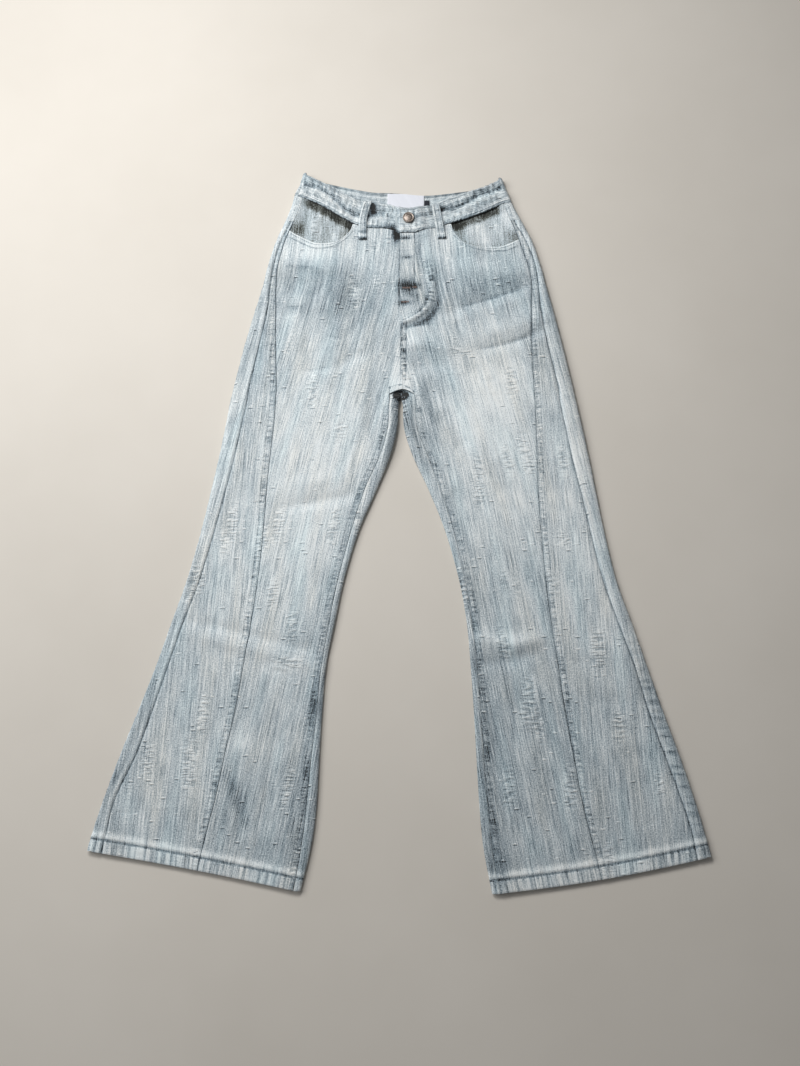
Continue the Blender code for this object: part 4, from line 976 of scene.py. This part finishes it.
# columns run from the right end over the front (to 10), round the right side (to 14), along the back
# (to 26), round the left side (to 30) and over the front to the left end (40)
def waistband(settings, material):
    parts = np.linspace(1, 0, bandSettings["rows"] + 1)[:, None]
    counts = [11, 8, 9, 13, 13, 11, 10, 10, 11, 3] + [4] * 4 + [12] * 12 + [4] * 4 + [2]
    counts += [7, 8, 10, 10, 10, 12, 12, 8, 7]
    columns = splitSteps(list(range(41)), counts)[None, :]
    at = columns + 0 * parts

    def cornerX(side):
        return sectionX(side, outerEdge, bandCorner(side, parts)) - side * bandRoll

    def frontX(side, place):
        mark = np.interp(place, range(10), bandMarks[side])
        narrow = cornerX(side) / (sectionX(side, outerEdge, bandCorner(side, 0.0)) - side * bandRoll)
        return mark * mix(1.0, narrow, ease((np.abs(mark) - 80) / 50))

    def turned(side, angle):
        y = bandCorner(side, parts) + halfSeam * (parts == 0)
        edge = sectionX(side, outerEdge, y)
        shoulder = bandTop(cornerX(side), y, parts, False)
        outer, inner = rolled(edge, -side, bandRoll, shoulder * 0.5, shoulder, angle, bandSettings["wall"])
        return outer, inner, y

    rightX = np.where(columns <= 9, frontX(right, columns),
                      mix(frontX(right, 9.0), cornerX(right), np.clip(columns - 9, 0, 1)))
    leftAt = np.clip(40 - columns, 0, 9)
    leftX = np.where(columns >= 31, frontX(left, leftAt),
                     mix(cornerX(left), frontX(left, 9.0), np.clip(columns - 30, 0, 1)))
    leftX = leftX - 2.0 * parts * np.clip(columns - 39, 0, 1)
    faceX = np.where(columns < 20, rightX, leftX)
    backX = np.where(columns <= 20, mix(cornerX(right), 0.0, np.clip((columns - 14) / 6, 0, 1)),
                     mix(0.0, cornerX(left), np.clip((columns - 20) / 6, 0, 1)))
    edgeLift = halfSeam * (parts == 0)
    frontY = mix(bandLower(faceX), readCurve(bandFrontTable, 1, faceX), parts) + edgeLift
    backY = mix(bandBackLower(backX), readCurve(bandBackTable, 1, backX), parts) + edgeLift
    over = columns >= 31
    frontZ = np.where(over, bandTop(faceX, frontY, parts, True), bandTop(faceX, frontY, parts, False))
    frontZ = frontZ - 1.2 * (bell(40 - columns, 0.05) + bell(columns, 0.05))
    rOuter, rInner, rY = turned(right, math.pi * (0.5 - (columns - 10) / 4))
    lOuter, lInner, lY = turned(left, math.pi * ((columns - 26) / 4 - 0.5))
    backSlack = 0.35 * (1 + pucker(backX, 21.0, 71.0)) * bell(parts - 0.5, 0.35)
    zones = [at <= 10, at < 14, at <= 26, at < 30, at >= 30]
    wall = bandSettings["wall"]
    x = pick(zones, faceX, rOuter[0], backX, lOuter[0], faceX)
    y = pick(zones, frontY, rY, backY, lY, frontY)
    z = pick(zones, frontZ, rOuter[1], 0.0, lOuter[1], frontZ)
    xIn = pick(zones, faceX, rInner[0], backX, lInner[0], faceX)
    zIn = pick(zones, frontZ - wall, rInner[1], wall + backSlack, lInner[1], frontZ - wall)
    outer, inner = stack(x, y, np.maximum(z, 0.0)), stack(xIn, y, zIn)
    finishAndShade = np.zeros(x.shape + (4,))
    above, away = bandTrough(x, parts)
    front = (columns <= 10) | (columns >= 30)
    edges = bell(parts - 0.12, 0.06) + bell(parts - 0.97, 0.05)
    ticks = np.clip(pucker(x + parts * 8, 11.0, 73.0), 0, 1)
    fine = np.clip(pucker(x - parts * 6, 6.3, 77.0), 0, 1)
    # painted highlight on the roll below the long crease and painted shade in the crease
    level = 0.74 + 0.16 * edges + 0.16 * bell(above + 0.24, 0.13) * away
    level -= 0.36 * np.where(above > 0, bell(above, 0.13), bell(above, 0.05)) * away
    level -= 0.34 * ticks * (0.7 * bell(above - 0.16, 0.14) + 0.9 * bell(parts - 0.26, 0.10)) + 0.16 * fine
    level = addSpots(level, bandSpotsAndShade, x, parts)
    back = 0.64 + 0.16 * pucker(x, 14.0, 75.0) - 0.16 * bell(parts - 0.98, 0.04)
    finishAndShade[..., 0] = np.clip(np.where(front, level, back), -0.5, 1.0)
    # painted shade under the band's lower edge, along its upper edge and in its stitch rows
    rows = bell(parts - 0.09, 0.025) + bell(parts - 0.92, 0.02)
    finishAndShade[..., 2] = 1.3 * bell(parts, 0.04) + 0.8 * bell(parts - 1, 0.025) + 0.6 * rows
    finishAndShade[..., 3] = np.where(front, 0.45, 0.25)
    along = stack(x, y, z)
    steps = np.hypot(np.diff(along[..., 0], axis=1), np.diff(along[..., 2], axis=1))
    length = np.concatenate([np.zeros((x.shape[0], 1)), np.cumsum(steps, axis=1)], axis=1)
    flatMap = np.stack([parts * 38.0 + 0 * length, length], axis=-1)
    piece = buildShell(settings["name"], outer, inner, None, finishAndShade, flatMap, material)
    for share in (0.07, 0.93):
        row = int(np.argmin(np.abs(parts[:, 0] - share)))
        for label, first, last in (("right", 0, 10), ("left", 30, 40)):
            chosen = (columns[0] >= first) & (columns[0] <= last)
            sewing["band %s %g" % (label, share)] = outer[row, chosen]
        chosen = (columns[0] >= 14) & (columns[0] <= 26)
        sewing["band back %g" % share] = inner[row, chosen]
    ending = int(np.argmin(np.abs(columns[0] - 39.8)))
    sewing["band end"] = outer[2:-2, ending]
    return piece


# distance from the centre and y along the lowest edge of each pocket facing
facingLow = {
    right: [(60, 424), (79, 411), (98, 399), (126, 396), (151, 405), (180, 416)],
    left: [(60, 427), (79, 409), (98, 398), (126, 394), (150, 397), (180, 404)],
}


def pocketFacing(side, settings, material):
    parts = np.linspace(1, 0, settings["rows"] + 1)[:, None]
    columns = np.linspace(0, 6, settings["columns"] + 1)[None, :]
    cornerY = scoop[side][-1][1]
    x, y = side * 100.0 + 0 * parts * columns, 440.0 + 0 * parts * columns
    for step in range(6):
        far = sectionX(side, frontSeam, y) - side * 2 * halfSeam
        x = mix(side * 64.0, far, columns / 6)
        high = bandLower(x) + mix(5.0, -0.4, np.clip(columns - 5, 0, 1))
        y = mix(readCurve(facingLow[side], 1, np.abs(x)), high, parts)
    flush = ease(columns - 5) * ease((y - cornerY - 3) / 12)
    sink = clothWall + 0.95 + 1.4 * ease(parts * 1.3)
    waves = wander(x * side + 0.4 * y, 81.0 + side, (47.0, 23.0, 13.0)) * ease((6 - columns) / 2)
    z = clothTop(x, y) + waves * 0.35 - mix(sink, 0.0, flush)
    finishAndShade = np.zeros(x.shape + (4,))
    # painted shadow under the band over the top of the facing
    cover = bandLower(x) - y + 2.5 * wander(x, 83.0 + side, (29.0, 11.0, 7.0))
    dark = ease((settings["shadowReach"] + 2.5 - cover) / 10.0) * (1 - 0.7 * flush)
    rim = readCurve(facingLow[side], 1, np.abs(x)) + 8 - y
    # painted shade in the two corners of the recess
    spots = [(84, 424, 9, 13, 0.30), (*settings["corner"], 12, 14, 0.46)]
    corner = addSpots(0.0, spots, x * side, y)
    finishAndShade[..., 0] = settings["tone"] + 0.20 * waves - 0.60 * dark - corner - 0.14 * bell(rim, 4)
    finishAndShade[..., 0] = np.clip(finishAndShade[..., 0] + 0.16 * flush, -0.2, 1)
    outer = stack(x, y, z)
    return buildShell(settings["name"], outer, stack(x, y, z - facingWall), None, finishAndShade,
                      grain("front", side, x, y), material)


# upper and lower end of each loop
loopEnds = {right: ((-54.0, 473.0), (-58.0, 412.0)), left: ((50.0, 468.0), (60.0, 413.0))}


def beltLoop(side, settings, material):
    (topX, topY), (lowX, lowY) = loopEnds[side]
    parts = np.linspace(0, 1, settings["rows"] + 1)[:, None]
    across = np.linspace(-1, 1, settings["columns"] + 1)[None, :]
    x = mix(topX, lowX, parts) + across * 6.0 - (2.2 * np.sin(math.pi * parts) if side == right else 0.0)
    x = x + (3.5 * (1 - parts) ** 3 if side == right else 0.0)
    y = mix(topY, lowY, parts) + 0 * across
    seam, upper = bandLower(x), readCurve(bandFrontTable, 1, x)
    over = side == left
    share = np.clip((y - seam) / (upper - seam), 0, 1)
    onBand = clothTop(x, np.minimum(np.maximum(y, seam), bandSeat)) + bandSettings["proud"] + 0.6
    onBand = onBand - 1.3 * bell(share - 0.5, 0.2) * ease((np.abs(x) - 50) / 30)
    onBand = onBand + (bandLap(x) if over else 0.0)
    onPanel = clothTop(x, y) + 0.4 + (flyRise(x, y) if over else 0.0)
    z = mix(onPanel, onBand, ease((y - seam + 9) / 9)) + 0.3 + 1.3
    z += 1.3 * np.sin(math.pi * parts) + 0.8 * bell(parts - 0.95, 0.05) + 0.4 * bell(parts - 0.04, 0.04)
    ribs = 0.35 * bell(np.abs(across) - 0.62, 0.22) - 0.5 * ease((np.abs(across) - 0.82) / 0.18)
    z = z + ribs + 0.15 * pucker(y, 5.0, 91.0 + side)
    finishAndShade = np.zeros(x.shape + (4,))
    # painted highlight on the turned lower end with painted shade under it, and painted shade down the loop's
    # right edge
    folded = (0.30 * bell(parts - 0.87, 0.03) - 0.7 * bell(parts - 0.985, 0.03)
              - 0.25 * bell(parts - 0.80, 0.03))
    sides = 0.14 * bell(np.abs(across) - 0.75, 0.15) - 0.30 * bell(across - 1.0, 0.18)
    finishAndShade[..., 0] = 0.66 + sides + folded
    finishAndShade[..., 0] += 0.10 * pucker(y, 9.0, 93.0 + side)
    finishAndShade[..., 2] = 0.8 * bell(np.abs(across) - 0.45, 0.10)
    finishAndShade[..., 3] = 0.3
    outer = stack(x, y, z)
    for label, index in (("a", 0.22), ("b", 0.78)):
        column = round(index * settings["columns"])
        sewing["loop %d %s" % (side, label)] = outer[2:-2, column]
    grainMap = np.stack([x + 0 * y, y], axis=-1)
    inner = stack(x, y, z - loopWall)
    return buildShell(settings["name"], outer, inner, None, finishAndShade, grainMap, material)


labelTop, labelUnder = 4.25, 3.4             # both lie on the inside of the back of the band


def blankLabel(edges, settings, material):
    x0, x1, low, high = edges
    parts = np.linspace(1, 0, settings["rows"] + 1)[:, None]
    x = np.linspace(x0, x1, settings["columns"] + 1)[None, :] + 0 * parts
    y = mix(low, np.minimum(high, readCurve(bandBackTable, 1, x) - 0.8), parts)
    border = np.minimum(np.minimum(x - x0, x1 - x), np.minimum(y - low, high - y))
    z = labelTop + 0.25 * wander(x + y * 0.6, 95.0, (29.0, 13.0, 7.0)) - 0.3 * bell(border, 0.5)
    z += 0.15 * bell(border - 2.2, 0.7)
    finishAndShade = np.zeros(x.shape + (4,))
    finishAndShade[..., 0] = 1.0 - 0.3 * bell(border - 1.2, 0.4)
    grainMap = np.stack([x, y], axis=-1)
    outer, inner = stack(x, y, z), stack(x, y, labelUnder)
    return buildShell(settings["name"], outer, inner, None, finishAndShade, grainMap, material)


# materials, built from small node helpers
def wire(tree, kind, inputs=None, **options):
    node = tree.nodes.new(kind)
    for name, value in options.items():
        setattr(node, name, value)
    for name, value in (inputs or {}).items():
        socket = node.inputs[name]
        if isinstance(value, bpy.types.NodeSocket):
            tree.links.new(value, socket)
        else:
            socket.default_value = value
    return node


def blend(tree, kind, first, second, limit=False):
    node = wire(tree, "ShaderNodeMath", operation=kind, use_clamp=limit)
    for socket, value in zip(node.inputs, (first, second)):
        if isinstance(value, bpy.types.NodeSocket):
            tree.links.new(value, socket)
        else:
            socket.default_value = value
    return node.outputs[0]


def newMaterial(name):
    material = bpy.data.materials.new(name)
    material.use_nodes = True
    return material, material.node_tree, material.node_tree.nodes["Principled BSDF"]


def ramp(tree, factor, stops):
    node = wire(tree, "ShaderNodeValToRGB", {"Fac": factor})
    while len(node.color_ramp.elements) < len(stops):
        node.color_ramp.elements.new(0.5)
    for element, (position, colour) in zip(node.color_ramp.elements, stops):
        element.position = position
        element.color = (*colour, 1.0)
    return node.outputs["Color"]


# the darkest stops carry the painted shade, deepest in the hollow over the crotch
denimSettings = {
    "stops": [(0.0, (0.010, 0.011, 0.011)), (0.07, (0.080, 0.108, 0.130)), (0.25, (0.205, 0.252, 0.285)),
              (0.5, (0.390, 0.448, 0.482)), (0.75, (0.610, 0.658, 0.675)), (1.0, (0.850, 0.875, 0.870))],
    "streak": 0.27, "fine": 0.50, "broad": 0.11, "blotch": 0.18, "speck": 0.62, "lines": 0.15,
    "fray": 0.42, "comb": 0.36, "slub": 0.50, "shade": 0.42, "rungs": 0.42, "ribs": 0.48, "lift": 0.0,
    "hue": [(0.30, (0.935, 1.006, 1.025)), (0.50, (0.985, 1.0, 1.005)), (0.70, (1.020, 1.0, 0.970))],
}


# scale across and along the warp in cycles a metre, detail, roughness, and the two ends of the contrast
threadNoise = {
    "streak": ((480, 9), 3.0, 0.7, 0.34, 0.66), "fine": ((1100, 34), 2.0, 0.6, 0.3, 0.7),
    "broad": ((170, 4), 2.0, 0.5, 0.3, 0.7), "blotch": ((30, 20), 3.0, 0.55, 0.3, 0.7),
    "speck": ((620, 520), 2.0, 0.7, 0.3, 0.7),
}


def mapped(tree, vector, scale, shift=(0, 0, 0), turn=0.0):
    node = wire(tree, "ShaderNodeMapping",
                {"Vector": vector, "Scale": scale, "Location": shift, "Rotation": (0, 0, turn)})
    return node.outputs["Vector"]


def noiseAt(tree, vector, scale, detail=2.0, roughness=0.5, shift=(0, 0, 0)):
    node = wire(tree, "ShaderNodeTexNoise", {"Vector": mapped(tree, vector, scale, shift), "Scale": 1.0,
                                             "Detail": detail, "Roughness": roughness})
    return node.outputs["Fac"]


def cellsAt(tree, vector, scale, randomness, channel, shift=(0, 0, 0)):
    node = wire(tree, "ShaderNodeTexVoronoi", {"Vector": mapped(tree, vector, scale, shift), "Scale": 1.0,
                                               "Randomness": randomness})
    chance = wire(tree, "ShaderNodeSeparateColor", {"Color": node.outputs["Color"]}).outputs[channel]
    return node.outputs["Distance"], chance


def sharpen(tree, value, low, high):
    node = wire(tree, "ShaderNodeMapRange", {"Value": value, "From Min": low, "From Max": high})
    return node.outputs["Result"]


def sumUp(tree, total, parts):
    for value, amount in parts:
        total = blend(tree, "ADD", total, blend(tree, "MULTIPLY", value, amount))
    return total


def surface(tree, shader, colour, rough, roughRange, height, strength, depth):
    tree.links.new(colour, shader.inputs["Base Color"])
    low, high = roughRange
    roughness = wire(tree, "ShaderNodeMapRange", {"Value": rough, "To Min": low, "To Max": high})
    tree.links.new(roughness.outputs["Result"], shader.inputs["Roughness"])
    bump = wire(tree, "ShaderNodeBump", {"Strength": strength, "Distance": depth, "Height": height})
    tree.links.new(bump.outputs["Normal"], shader.inputs["Normal"])


def denim(name, changes):
    s = {**denimSettings, **changes}
    material, tree, shader = newMaterial(name)

    def centred(value):
        return blend(tree, "SUBTRACT", value, 0.5)

    shader.inputs["Sheen Weight"].default_value = 0.22
    shader.inputs["Sheen Roughness"].default_value = 0.6
    shader.inputs["Specular IOR Level"].default_value = 0.18
    warp = wire(tree, "ShaderNodeUVMap", uv_map="grain").outputs["UV"]
    finishAndShade = wire(tree, "ShaderNodeAttribute", attribute_name="finishAndShade")
    split = wire(tree, "ShaderNodeSeparateColor", {"Color": finishAndShade.outputs["Color"]})
    # the red channel is wear with painted light and shade, the blue one painted shade
    wearAndShade, fray, shade = split.outputs["Red"], split.outputs["Green"], split.outputs["Blue"]
    woven = {}
    for key, (scale, detail, roughness, low, high) in threadNoise.items():
        woven[key] = sharpen(tree, noiseAt(tree, warp, (*scale, 1), detail, roughness), low, high)
    weft = noiseAt(tree, warp, (150, 900, 1), 2.0, 0.6)
    # a few more frayed patches than the painted ones, each a ladder of weft threads
    away, chance = cellsAt(tree, warp, (38, 11, 1), 0.9, "Green")
    patch = blend(tree, "MULTIPLY", sharpen(tree, away, 0.42, 0.25), sharpen(tree, chance, 0.76, 0.80))
    fray = blend(tree, "MAXIMUM", fray, patch)
    threads = sharpen(tree, noiseAt(tree, warp, (75, 290, 1), 1.0, 0.5), 0.40, 0.60)
    comb = blend(tree, "MULTIPLY", blend(tree, "SUBTRACT", threads, 0.42), fray)
    lines = 0.0
    for offset, sign in ((0.0, 1.0), (7.3, -1.0)):       # long single threads, pale and dark
        strand = noiseAt(tree, warp, (200, 3, 1), 1.0, 0.4, (offset, offset, 0))
        thin = sharpen(tree, blend(tree, "ABSOLUTE", centred(strand), 0.0), 0.028, 0.004)
        lines = sumUp(tree, lines, [(thin, sign)])
    # rungs drawn in beside the seams, and ribs of the roped hem
    across = wire(tree, "ShaderNodeAttribute", attribute_name="drawn").outputs["Fac"]
    rung = sharpen(tree, noiseAt(tree, warp, (45, 230, 1), 1.0, 0.5), 0.54, 0.44)
    rungs = blend(tree, "MULTIPLY", rung, blend(tree, "MAXIMUM", across, 0.0))
    rib = sharpen(tree, noiseAt(tree, warp, (190, 12, 1), 1.0, 0.5), 0.40, 0.60)
    hem = blend(tree, "MAXIMUM", blend(tree, "MULTIPLY", across, -1.0), 0.0)
    ribs = blend(tree, "MULTIPLY", centred(rib), hem)
    diagonal = mapped(tree, warp, (330, 330, 1), turn=math.radians(38))
    waves = {"Vector": diagonal, "Scale": 1.0, "Distortion": 1.2, "Detail": 1.0}
    twill = wire(tree, "ShaderNodeTexWave", waves, wave_type="BANDS", bands_direction="X").outputs["Fac"]
    # single pale weft threads, most of them in frayed cloth
    away, chance = cellsAt(tree, warp, (92, 235, 1), 0.85, "Red")
    chosen = sharpen(tree, sumUp(tree, chance, [(fray, 0.35)]), 0.965, 0.985)
    dashes = blend(tree, "MULTIPLY", sharpen(tree, away, 0.36, 0.20), chosen)
    slub = 0.0
    for shift, sign in ((0.0, 1.0), (0.34, -1.0)):       # pale slubs with their own shadow below
        away, chance = cellsAt(tree, warp, (60, 190, 1), 0.8, "Blue", (0, shift, 0))
        mark = blend(tree, "MULTIPLY", sharpen(tree, away, 0.34, 0.16), sharpen(tree, chance, 0.962, 0.966))
        slub = sumUp(tree, slub, [(mark, sign)])
    level = sumUp(tree, wearAndShade, [(centred(value), s[key]) for key, value in woven.items()])
    level = sumUp(tree, level, [
        (lines, s["lines"]), (ribs, s["ribs"]), (rungs, -s["rungs"]), (centred(twill), 0.10),
        (dashes, s["fray"]), (comb, s["comb"]), (slub, s["slub"]), (shade, -s["shade"])])
    level = blend(tree, "ADD", level, s["lift"], limit=True)
    drift = noiseAt(tree, warp, (34, 7, 1), 2.0, 0.5)
    tint = wire(tree, "ShaderNodeVectorMath", operation="MULTIPLY")
    tree.links.new(ramp(tree, level, s["stops"]), tint.inputs[0])
    tree.links.new(ramp(tree, drift, s["hue"]), tint.inputs[1])
    height = sumUp(tree, blend(tree, "MULTIPLY", woven["streak"], 0.55), [
        (twill, 0.18), (woven["fine"], 0.25), (dashes, 0.8), (comb, 1.2), (slub, 1.0), (weft, 0.3),
        (rungs, -0.8)])
    surface(tree, shader, tint.outputs["Vector"], woven["streak"], (0.80, 0.97), height, 0.8, 0.0010)
    return material


def plainCloth(name, stops, scale):          # fine woven tape of the labels, and the thread
    material, tree, shader = newMaterial(name)
    place = wire(tree, "ShaderNodeTexCoord").outputs["Object"]
    shader.inputs["Specular IOR Level"].default_value = 0.15
    weave = noiseAt(tree, place, scale, 2.0, 0.6)
    surface(tree, shader, ramp(tree, weave, stops), weave, (0.6, 0.9), weave, 0.5, 0.0002)
    return material


def buttonMetal():
    material, tree, shader = newMaterial("agedCopper")
    shader.inputs["Metallic"].default_value = 1.0
    place = wire(tree, "ShaderNodeTexCoord").outputs["Object"]
    stain = noiseAt(tree, place, (420, 420, 420), 4.0, 0.6)
    hammer = noiseAt(tree, place, (900, 900, 900), 2.0, 0.5)
    colour = ramp(tree, stain, [(0.3, (0.09, 0.074, 0.063)), (0.52, (0.22, 0.185, 0.16)),
                                (0.75, (0.36, 0.33, 0.31))])
    surface(tree, shader, colour, stain, (0.34, 0.55), hammer, 0.35, 0.0003)
    return material


buttonSettings = {
    "centre": (10.0, 444.5), "steps": 40, "seatGap": 0.35,
    # radius and height, from the middle of the underside to the middle of the top
    "profile": [(0.0, 0.0), (4.2, 0.0), (4.2, 1.0), (7.4, 1.15), (8.2, 1.5), (8.5, 2.0), (8.42, 2.6),
                (8.0, 3.05), (7.4, 3.15), (6.9, 2.95), (6.5, 2.75), (6.0, 2.85), (4.8, 3.15), (3.2, 3.42),
                (1.6, 3.55), (0.0, 3.6)],
}


def button(settings, material):
    x, y = settings["centre"]
    seat = float(clothTop(np.array(x), np.array(y))) + bandSettings["proud"] + bandSettings["lapRise"]
    seat += settings["seatGap"]
    bm = bmesh.new()
    points = [bm.verts.new((radius * millimetre, 0.0, rise * millimetre))
              for radius, rise in settings["profile"]]
    edges = [bm.edges.new(pair) for pair in zip(points, points[1:])]
    bmesh.ops.spin(bm, geom=points + edges, cent=(0, 0, 0), axis=(0, 0, 1), angle=2 * math.pi,
                   steps=settings["steps"], use_merge=True)
    bmesh.ops.remove_doubles(bm, verts=bm.verts[:], dist=1e-5)
    bmesh.ops.recalc_face_normals(bm, faces=bm.faces[:])
    bmesh.ops.translate(bm, verts=bm.verts[:],
                        vec=(x * millimetre, (y + centreShiftY) * millimetre, seat * millimetre))
    for face in bm.faces:
        face.smooth = True
    return addPiece(settings["name"], meshFrom(bm, settings["name"]), material)


stitchSettings = {"pitch": 3.3, "length": 2.7, "width": 0.62, "height": 0.42, "lift": 0.08}
# the rows give the left end, right end and height of each bar tack
tackSettings = {
    "rows": [(2.0, 13.0, 334.5), (17.0, 23.0, 335.5), (1.0, 11.0, 312.5)], "pitch": 0.9, "reach": 1.7,
    "lift": 0.25,
}


def tackLines(settings):
    lines = []
    for start, end, level in settings["rows"]:
        for x in np.arange(start, end, settings["pitch"]):
            y = np.array([level - settings["reach"], level + settings["reach"]])
            lines.append(stack(x, y, topHeight("front", left, x + 0 * y, y) + settings["lift"]))
    return lines


def stitchPiece(name, lines, material, changes=None):    # one short thread bead for each stitch
    s = {**stitchSettings, **(changes or {})}
    bm = bmesh.new()
    for points in lines:
        steps = np.linalg.norm(np.diff(points, axis=0), axis=1)
        travel = np.concatenate([[0.0], np.cumsum(steps)])
        count = int(travel[-1] / s["pitch"])
        for index in range(count):
            middle = (index + 0.5) * s["pitch"]
            ends = []
            for at in (middle - s["length"] / 2, middle + s["length"] / 2):
                ends.append([np.interp(at, travel, points[:, axis]) for axis in range(3)])
            start, end = (Vector(value) + Vector((0, centreShiftY, 0)) for value in ends)
            turn = (end - start).to_track_quat("X", "Z").to_matrix().to_4x4()
            centre = (start + end) / 2 + Vector((0, 0, s["lift"]))
            size = Matrix.Diagonal((s["length"] / 2, s["width"] / 2, s["height"] / 2, 1))
            place = Matrix.Scale(millimetre, 4) @ Matrix.Translation(centre) @ turn @ size
            bmesh.ops.create_icosphere(bm, subdivisions=1, radius=1.0, matrix=place)
    for face in bm.faces:
        face.smooth = True
    return addPiece(name, meshFrom(bm, name), material)


# camera and lights are in metres
cameraSettings = {
    "place": (0.0414, -0.3540, 1.5337), "right": (0.9997, 0.0076, -0.0250),
    "down": (0.0023, -0.9789, -0.2044), "forward": (-0.0260, 0.2043, -0.9786), "lens": 37.46,
}


def makeCamera(settings):
    data = bpy.data.cameras.new("camera")
    data.sensor_width = 36.0
    data.lens = settings["lens"]
    data.clip_start, data.clip_end = 0.01, 20
    camera = bpy.data.objects.new("camera", data)
    forward = Vector(settings["forward"]).normalized()
    up = -Vector(settings["down"])
    up = (up - forward * up.dot(forward)).normalized()
    across = forward.cross(up)
    turn = Matrix((across, up, -forward)).transposed()
    camera.matrix_world = Matrix.Translation(settings["place"]) @ turn.to_4x4()
    bpy.context.scene.collection.objects.link(camera)
    bpy.context.scene.camera = camera


lightSettings = {
    "key": {"place": (-0.5, 0.85, 1.25), "aim": (-0.2, 0.1, 0), "size": (0.6, 0.5), "power": 16.6},
    "fill": {"place": (-2.2, 0.8, 1.8), "aim": (0, -0.1, 0), "size": (2.0, 1.2), "power": 43.0},
    "sky": (0.95, 0.97, 1.0), "skyStrength": 0.16,
}


def makeLight(name, settings):
    data = bpy.data.lights.new(name, "AREA")
    data.shape = "RECTANGLE"
    data.size, data.size_y = settings["size"]
    data.energy = settings["power"]
    light = bpy.data.objects.new(name, data)
    light.location = settings["place"]
    aim = Vector(settings["aim"]) - Vector(settings["place"])
    light.rotation_euler = aim.to_track_quat("-Z", "Y").to_euler()
    bpy.context.scene.collection.objects.link(light)


def makeStage():
    bm = bmesh.new()
    bmesh.ops.create_grid(bm, x_segments=1, y_segments=1, size=6.0)
    bmesh.ops.translate(bm, verts=bm.verts[:], vec=(0, 0, -0.0002))
    mesh = meshFrom(bm, "floor")
    material, tree, shader = newMaterial("floorPaint")
    place = wire(tree, "ShaderNodeTexCoord").outputs["Object"]
    cloud = noiseAt(tree, place, (3, 3, 3), 4.0, 0.6)
    tree.links.new(ramp(tree, cloud, [(0.3, (0.600, 0.560, 0.500)), (0.7, (0.640, 0.600, 0.540))]),
                   shader.inputs["Base Color"])
    shader.inputs["Roughness"].default_value = 0.75
    mesh.materials.append(material)
    floor = bpy.data.objects.new("floor", mesh)
    bpy.context.scene.collection.objects.link(floor)
    world = bpy.data.worlds.new("studio")
    world.use_nodes = True
    back = world.node_tree.nodes["Background"]
    back.inputs["Color"].default_value = (*lightSettings["sky"], 1.0)
    back.inputs["Strength"].default_value = lightSettings["skyStrength"]
    bpy.context.scene.world = world
    bpy.context.scene.view_settings.view_transform = "Standard"


makeCamera(cameraSettings)
makeLight("keyLight", lightSettings["key"])
makeLight("fillLight", lightSettings["fill"])
makeStage()
print("camera, lights and floor ready")

frontDenim = denim("fadedDenim", {})
sideDenim = denim("sideDenim", {"lift": -0.01})
bandDenim = denim("bandDenim", {"streak": 0.30})
# the facing's darker stops give the painted shadow under the band its grey green
facingDenim = denim("facingDenim", {"streak": 0.16, "lines": 0.08, "stops": [
    (0.0, (0.012, 0.013, 0.010)), (0.12, (0.085, 0.092, 0.078)), (0.3, (0.235, 0.255, 0.250)),
    (0.5, (0.390, 0.445, 0.475)), (0.75, (0.600, 0.650, 0.675)), (1.0, (0.850, 0.875, 0.870))]})
tapeWeave, threadWeave = (1400, 2600, 900), (900, 900, 900)
whiteTape = plainCloth("whiteTape", [(0.3, (0.62, 0.64, 0.69)), (0.7, (0.74, 0.75, 0.80))], tapeWeave)
blackTape = plainCloth("blackTape", [(0.3, (0.012, 0.013, 0.018)), (0.7, (0.035, 0.037, 0.045))], tapeWeave)
thread = plainCloth("thread", [(0.3, (0.150, 0.200, 0.240)), (0.7, (0.300, 0.360, 0.400))], threadWeave)
rust = plainCloth("rustThread", [(0.3, (0.20, 0.13, 0.11)), (0.7, (0.38, 0.28, 0.24))], threadWeave)
copper = buttonMetal()
print("materials ready")

for side, word in ((left, "left"), (right, "right")):
    front = frontPanel(side, {"name": "frontPanel_" + word, "middleColumns": 36, "centreColumns": 20},
                       frontDenim)
    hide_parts("front_" + word)
    panel = sidePanel(side, {"name": "sidePanel_" + word, "middleColumns": 16}, sideDenim)
    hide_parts("side_panel_" + word)
    back = backPanel(side, {"name": "backPanel_" + word, "columnCounts": [8, 6, 6, 14, 6, 6, 12]},
                     sideDenim)
    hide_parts("back_" + word)
    yoke = yokePanel(side, {"name": "yokePanel_" + word, "rows": 14, "columnCounts": [30, 7, 7, 4]},
                     sideDenim)
    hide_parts("yoke_" + word)
    facing = pocketFacing(side, {"name": "pocketFacing_" + word, "rows": 40, "columns": 64, "shadowReach": 14.5,
                                  "tone": 0.54 if side == right else 0.68,
                                  "corner": (154, 430) if side == right else (168, 418)},
                          facingDenim)
    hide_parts("pocket_facing_" + word)
    loop = beltLoop(side, {"name": "beltLoop_" + word, "rows": 36, "columns": 14}, bandDenim)
    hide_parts("belt_loop_" + word)
print("leg panels, yokes, facings and loops made")

band = waistband({"name": "waistBand"}, bandDenim)
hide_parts("waistband")
label = blankLabel((-22.0, 33.0, 455.0, 489.0), {"name": "blankLabel", "rows": 24, "columns": 38},
                   whiteTape)
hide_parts("label")
tab = blankLabel((33.4, 41.0, 463.0, 478.0), {"name": "blankTab", "rows": 14, "columns": 8}, blackTape)
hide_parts("size_tab")
disc = button({"name": "shankButton", **buttonSettings}, copper)
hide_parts("button")
print("band, labels and button made")

for side, word in ((left, "left"), (right, "right")):
    mine = [points for name, points in sewing.items() if name.split()[0].endswith("_" + word)]
    stitchPiece("legStitches_" + word, mine, thread)
tacks = stitchPiece("barTacks", tackLines(tackSettings), rust, {"pitch": 3.4, "length": 3.4})
rest = [points for name, points in sewing.items() if name.split()[0] in ("band", "loop")]
stitchPiece("bandStitches", rest, thread)
print("stitches made")
